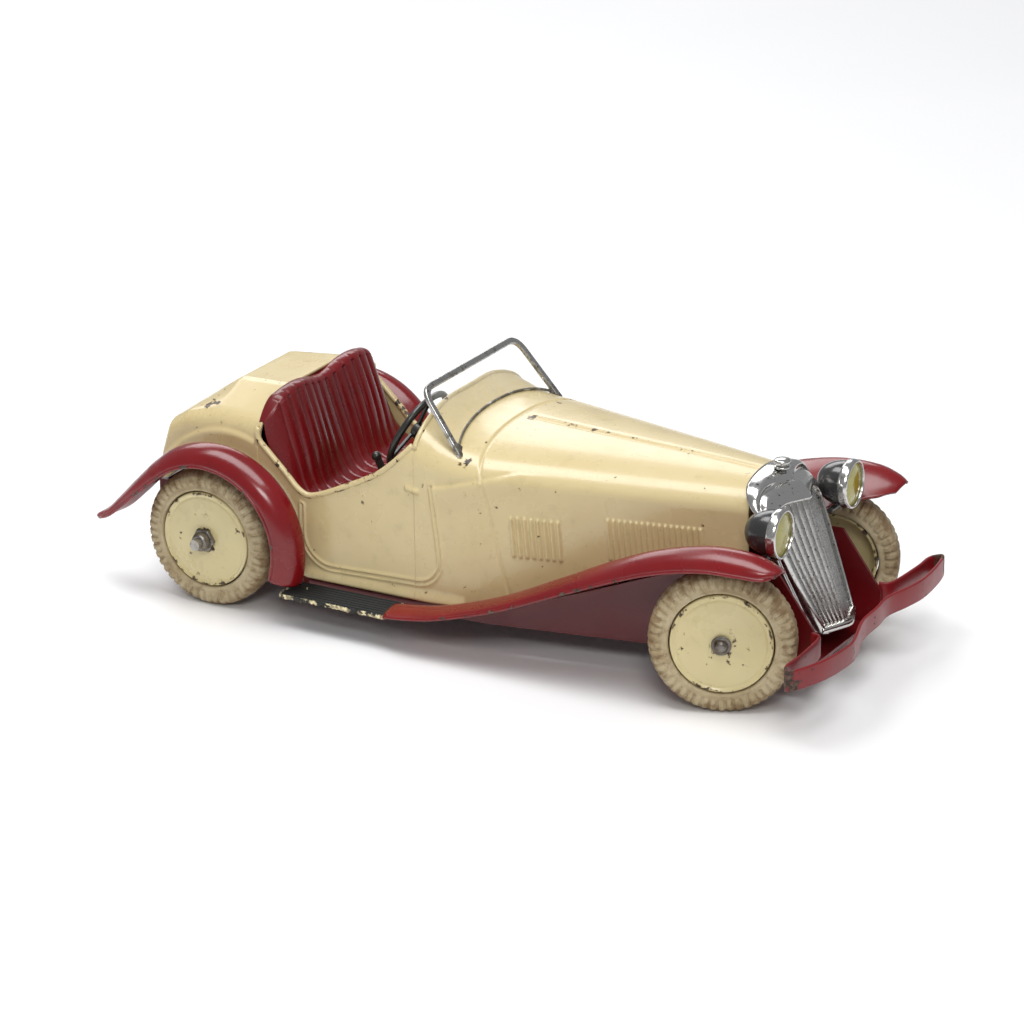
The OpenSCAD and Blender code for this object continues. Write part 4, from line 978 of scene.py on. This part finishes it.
def seat():
    """Two bucket backs in one pressing, pleated from top to bottom."""
    y = np.linspace(-SEAT_HALF_W, SEAT_HALF_W, 340)
    u = (y + SEAT_HALF_W) / SEAT_HALF_W
    swell = 0.5 - 0.5 * np.cos(2 * math.pi * u)
    end = np.clip((np.abs(y) - SEAT_HALF_W + 6) / 6, 0, 1) ** 1.7
    path = resample(SEAT_PATH, 110)
    up = np.clip((path[:, 1] - CUSHION_Z) / BACK_H, 0, 1)
    x = path[:, :1] + (2.4 * swell - 5 * end)[None] * (up * (2.4 - 1.9 * up))[:, None]
    z = path[:, 1:] + (up**2)[:, None] * (0.6 + 2.2 * swell - 4.6 * end)[None]
    p = np.stack([x, np.repeat(y[None], len(x), 0), z], 2)
    roll = np.linspace(0, math.pi * 0.92, 18)[1:]
    back = (2.3 - 1.5 * end)[:, None]
    top = np.stack([p[-1] + back * [-(1 - math.cos(a)), 0, 0.57 * math.sin(a)] for a in roll])
    p = np.concatenate([p, top])
    p[..., 1] *= 1 - 0.02 * np.concatenate([up, np.ones(len(roll))])[:, None] ** 3
    groove = ridge((u * PLEATS + 0.5) % 1 - 0.5, 0.13) * (np.abs(y) < SEAT_HALF_W - 4.2)
    pillow = 0.3 * np.abs(np.sin(math.pi * u * PLEATS))
    strength = np.concatenate([np.minimum(1, 0.4 + up * 2), np.linspace(0.5, 0, len(roll)) ** 2])
    relief = strength[:, None] * (pillow - 0.75 * groove)
    p = p + normals(p, np.array([-80, 0, 20])) * relief[..., None]
    obj = grid("seat_pleated", p, SEAT_RED, (-80, 0, 20))
    return piece(thicken(obj, 0.8), "car", "seat_red", "seat")


seat()

# ---- wheels ----------------------------------------------------------

DISC_R = 13.2
TYRE_R = 19.0
DISC_OUT = 4.3
BLOCKS = 50


def wheel_frame(where, joint, end):
    """Local Z points out of the car through the wheel's middle."""
    axis = np.array(joints[joint]["axis"], float) * SIDES[where]
    return frame_along(middle(f"{end}_tyre_{where}"), axis)


def tread(p, a):
    """Cuts the blocks of the tread into a turned tyre."""
    r = np.linalg.norm(p[..., :2], axis=2)
    h = p[..., 2]
    shoulder = step01(r, 15.0, 15.9)
    phase = a[None] * BLOCKS / (2 * math.pi) + np.where(h > 0, 0.0, 0.5)
    gap = step01(np.abs(((phase % 1) - 0.5) * 2), 0.5, 0.78)
    centre = step01(np.abs(h), 0.3, 0.7)
    cut = 0.42 * gap * shoulder * centre
    rough = 0.03 * np.sin(a[None] * 7 + h) + 0.015 * np.sin(a[None] * 23 + 2 * r)
    scale = 1 - (0.4 * cut * step01(r, 17.4, 18.4) + np.abs(rough) * shoulder) / np.maximum(r, 1)
    rise = h - np.sign(h) * 1.3 * cut * (1 - step01(r, 18.2, 18.9))
    return np.concatenate([p[..., :2] * scale[..., None], rise[..., None]], 2)


def tyre(where, end, place, body_name):
    half = [(TYRE_R, 0.0), (TYRE_R, 1.3), (TYRE_R - 0.05, 2.1), (TYRE_R - 0.5, 3.2), (TYRE_R - 1.2, 4.0),
            (TYRE_R - 2.2, 4.35), (TYRE_R - 3.2, 4.45), (TYRE_R - 3.5, 4.2), (TYRE_R - 4.1, 4.15),
            (DISC_R + 1.2, 4.4), (DISC_R + 0.6, 4.3), (DISC_R + 0.35, 3.7), (DISC_R + 0.3, 3.2)]
    outer = resample(fillet(half, 0.35, 3), 46)
    profile = np.vstack([outer[::-1], (outer * [1, -1])[1:]])
    wear = np.clip((profile[:, 0] - 15) / 4, 0, 1)
    obj = lathe(f"tyre_{end}_{where}", profile, place, RUBBER, BLOCKS * 12, wear, tread)
    return piece(obj, body_name, "rubber", f"{end}_tyre_{where}")


def disc(where, end, place, body_name):
    profile = fillet([(1.3, DISC_OUT - 0.1), (3.6, DISC_OUT), (4.6, DISC_OUT + 0.12), (8.5, DISC_OUT),
                      (11.4, DISC_OUT - 0.35), (11.9, DISC_OUT - 0.6), (12.35, DISC_OUT - 0.35),
                      (12.8, DISC_OUT - 0.1), (13.15, DISC_OUT - 0.35), (DISC_R, DISC_OUT - 1.2),
                      (DISC_R, -3.2), (12.4, -3.2), (12.4, DISC_OUT - 1.6), (11, DISC_OUT - 1.1),
                      (1.3, DISC_OUT - 0.8)], 0.3, 3)
    r = profile[:, 0]
    wear = 0.9 * ridge(r - 12.8, 0.5) + 0.8 * ridge(r - 3, 1.4)
    obj = lathe(f"disc_{end}_{where}", profile, place, DISC_CREAM, 128, wear)
    return piece(obj, body_name, "cream_enamel", f"{end}_disc_{where}")


for where, side in SIDES.items():
    at = wheel_frame(where, f"front_wheel_{where}_spin", "front")
    tyre(where, "front", at, f"front_wheel_{where}")
    disc(where, "front", at, f"front_wheel_{where}")
    cap = fillet([(0.01, 2.0), (0.9, 1.9), (1.5, 1.5), (1.7, 0.9), (1.9, 0.6), (2.6, 0.5), (2.6, 0.02),
                  (1.25, 0)], 0.2)
    rivet = lathe(f"front_rivet_{where}", cap + [0, DISC_OUT + 0.3], at, HUB, 48)
    piece(rivet, f"knuckle_{where}", "bare_steel", f"front_washer_{where}")
    at = wheel_frame(where, "rear_axle_spin", "rear")
    tyre(where, "rear", at, "rear_wheels")
    disc(where, "rear", at, "rear_wheels")


def hexagon(p, a):
    """Pulls turned points in to a hexagon's flats."""
    out = p.copy()
    out[..., :2] *= (math.cos(math.pi / 6) / np.cos(a % (math.pi / 3) - math.pi / 6))[None, :, None]
    return out


def rear_hub(where):
    """A six-sided washer, a domed nut and the axle's rounded end."""
    at = wheel_frame(where, "rear_axle_spin", "rear")
    washer = fillet([(1.5, 1.2), (3.3, 1.2), (3.5, 0.95), (3.5, 0.02), (1.5, 0.02)], 0.15)
    nut = fillet([(1.5, 3.3), (2.0, 3.3), (2.5, 2.6), (2.6, 1.35), (2.3, 1.2), (1.5, 1.2)], 0.5)
    end = fillet([(0.01, 5), (0.9, 4.95), (1.4, 4.6), (1.5, 4.1), (1.5, -2)], 0.3)
    return join(f"hub_{where}", [lathe("washer", washer + [0, DISC_OUT], at, HUB, 72, shape=hexagon),
                                 lathe("nut", nut + [0, DISC_OUT], at, HUB, 48),
                                 lathe("end", end + [0, DISC_OUT], at, HUB, 40)])


piece(join("rear_hub_nuts_turned", [rear_hub(where) for where in SIDES]), "rear_wheels", "bare_steel",
      "rear_hub_nuts")

# ---- steering wheel --------------------------------------------------

WHEEL_RIM_R = 11.5
COLUMN_REST_TURN = 24.6


def steering_wheel():
    axis = np.array(joints["column_turn"]["axis"], float)
    place = frame_along(middle("steering_wheel"), axis if axis[2] > 0 else -axis)
    ring = circle_profile(0.92, 14) + [WHEEL_RIM_R, 0]
    parts = [lathe("rim", np.vstack([ring, ring[:1]]), place, BLACK, 96)]
    hub = fillet([(0.01, 1.5), (1.2, 1.4), (2.3, 0.8), (2.4, -0.9), (0.01, -0.9)], 0.4)
    parts.append(lathe("hub", hub, place, BLACK, 40))
    for k in range(3):
        a = math.radians(COLUMN_REST_TURN + 60 + 120 * k)
        r = np.linspace(1.5, WHEEL_RIM_R, 14)
        path = placed(np.stack([r * math.cos(a), r * math.sin(a), 0.5 - 0.4 * (r / WHEEL_RIM_R)], 1), place)
        parts.append(sweep("spoke", path, ring_profile(0.75, 0.42, 0.2), place[:3, 2], BLACK))
    return piece(join("steering_wheel_moulded", parts), "column", "black_enamel", "steering_wheel")


steering_wheel()

# ---- materials of the CAD nodes that show as they are ----------------

SLOT_MATERIALS = {"cream_enamel": CREAM, "red_enamel": PAN_RED, "bumper_red": BUMPER_RED,
                  "seat_red": SEAT_RED, "black_enamel": BLACK, "plated_steel": CHROME, "grille_plate": GRILLE,
                  "lamp_black": LAMP_BLACK, "lamp_glass": LENS, "celluloid": PANE, "rubber": RUBBER,
                  "bare_steel": STEEL, "spring_steel": SPRING, "brass": BRASS}
for part in frame["record"]["subparts"]:
    mesh = frame["nodes"][part["node"]].data
    mesh.materials.clear()
    mesh.materials.append(SLOT_MATERIALS[part["material_slot"]])

# ---- floor, light and camera -----------------------------------------

floor_nodes = Nodes("floor")
floor_mat = floor_nodes.done(
    floor_nodes.mix(floor_nodes.noise(3, 2), (0.86, 0.86, 0.865), (0.89, 0.89, 0.89)),
    floor_nodes.ramp(floor_nodes.noise(8, 2), 0.3, 0.7, 0.6, 0.7))
FLOOR_HALF_W = 6000
corners = [(a * FLOOR_HALF_W, b * FLOOR_HALF_W, 0) for a, b in ((-1, -1), (1, -1), (1, 1), (-1, 1))]
ground = add_mesh("ground", corners, [(0, 1, 2, 3)], floor_mat, smooth=False)


def area_light(name, at, aim, size, power, tint=(1, 1, 1)):
    data = bpy.data.lights.new(name, "AREA")
    data.shape, data.size, data.size_y = "RECTANGLE", *size
    data.energy, data.color = power, tint
    lamp = bpy.data.objects.new(name, data)
    bpy.context.scene.collection.objects.link(lamp)
    lamp.location = at
    lamp.rotation_euler = (Vector(aim) - Vector(at)).to_track_quat("-Z", "Y").to_euler()


area_light("overhead", (-0.05, -0.15, 0.95), (0, 0, 0), (1.2, 0.4), 9)
area_light("key", (0.6, -1.0, 0.9), (0, 0, 0.03), (0.4, 0.3), 5, (1, 0.985, 0.96))
area_light("back", (-0.7, 0.8, 0.75), (0, 0, 0.02), (0.9, 0.5), 4.5)

world = bpy.data.worlds.new("studio")
bpy.context.scene.world = world
world.use_nodes = True
world.node_tree.nodes["Background"].inputs["Color"].default_value = (0.95, 0.97, 1, 1)
world.node_tree.nodes["Background"].inputs["Strength"].default_value = 0.34
bpy.context.scene.view_settings.view_transform = "Standard"

CAMERA_AT = Vector((0.5686, -0.9653, 0.4594))
CAMERA_RIGHT = Vector((0.8642, 0.5028, -0.0154))
CAMERA_UP = Vector((-0.1682, 0.3177, 0.9331))

lens = bpy.data.cameras.new("camera")
lens.sensor_width, lens.lens = 36, 159.3
lens.clip_start, lens.clip_end = 0.05, 30
camera = bpy.data.objects.new("camera", lens)
bpy.context.scene.collection.objects.link(camera)
turn = Matrix((CAMERA_RIGHT, CAMERA_UP, CAMERA_RIGHT.cross(CAMERA_UP))).transposed()
camera.matrix_world = Matrix.Translation(CAMERA_AT) @ turn.to_4x4()
bpy.context.scene.camera = camera
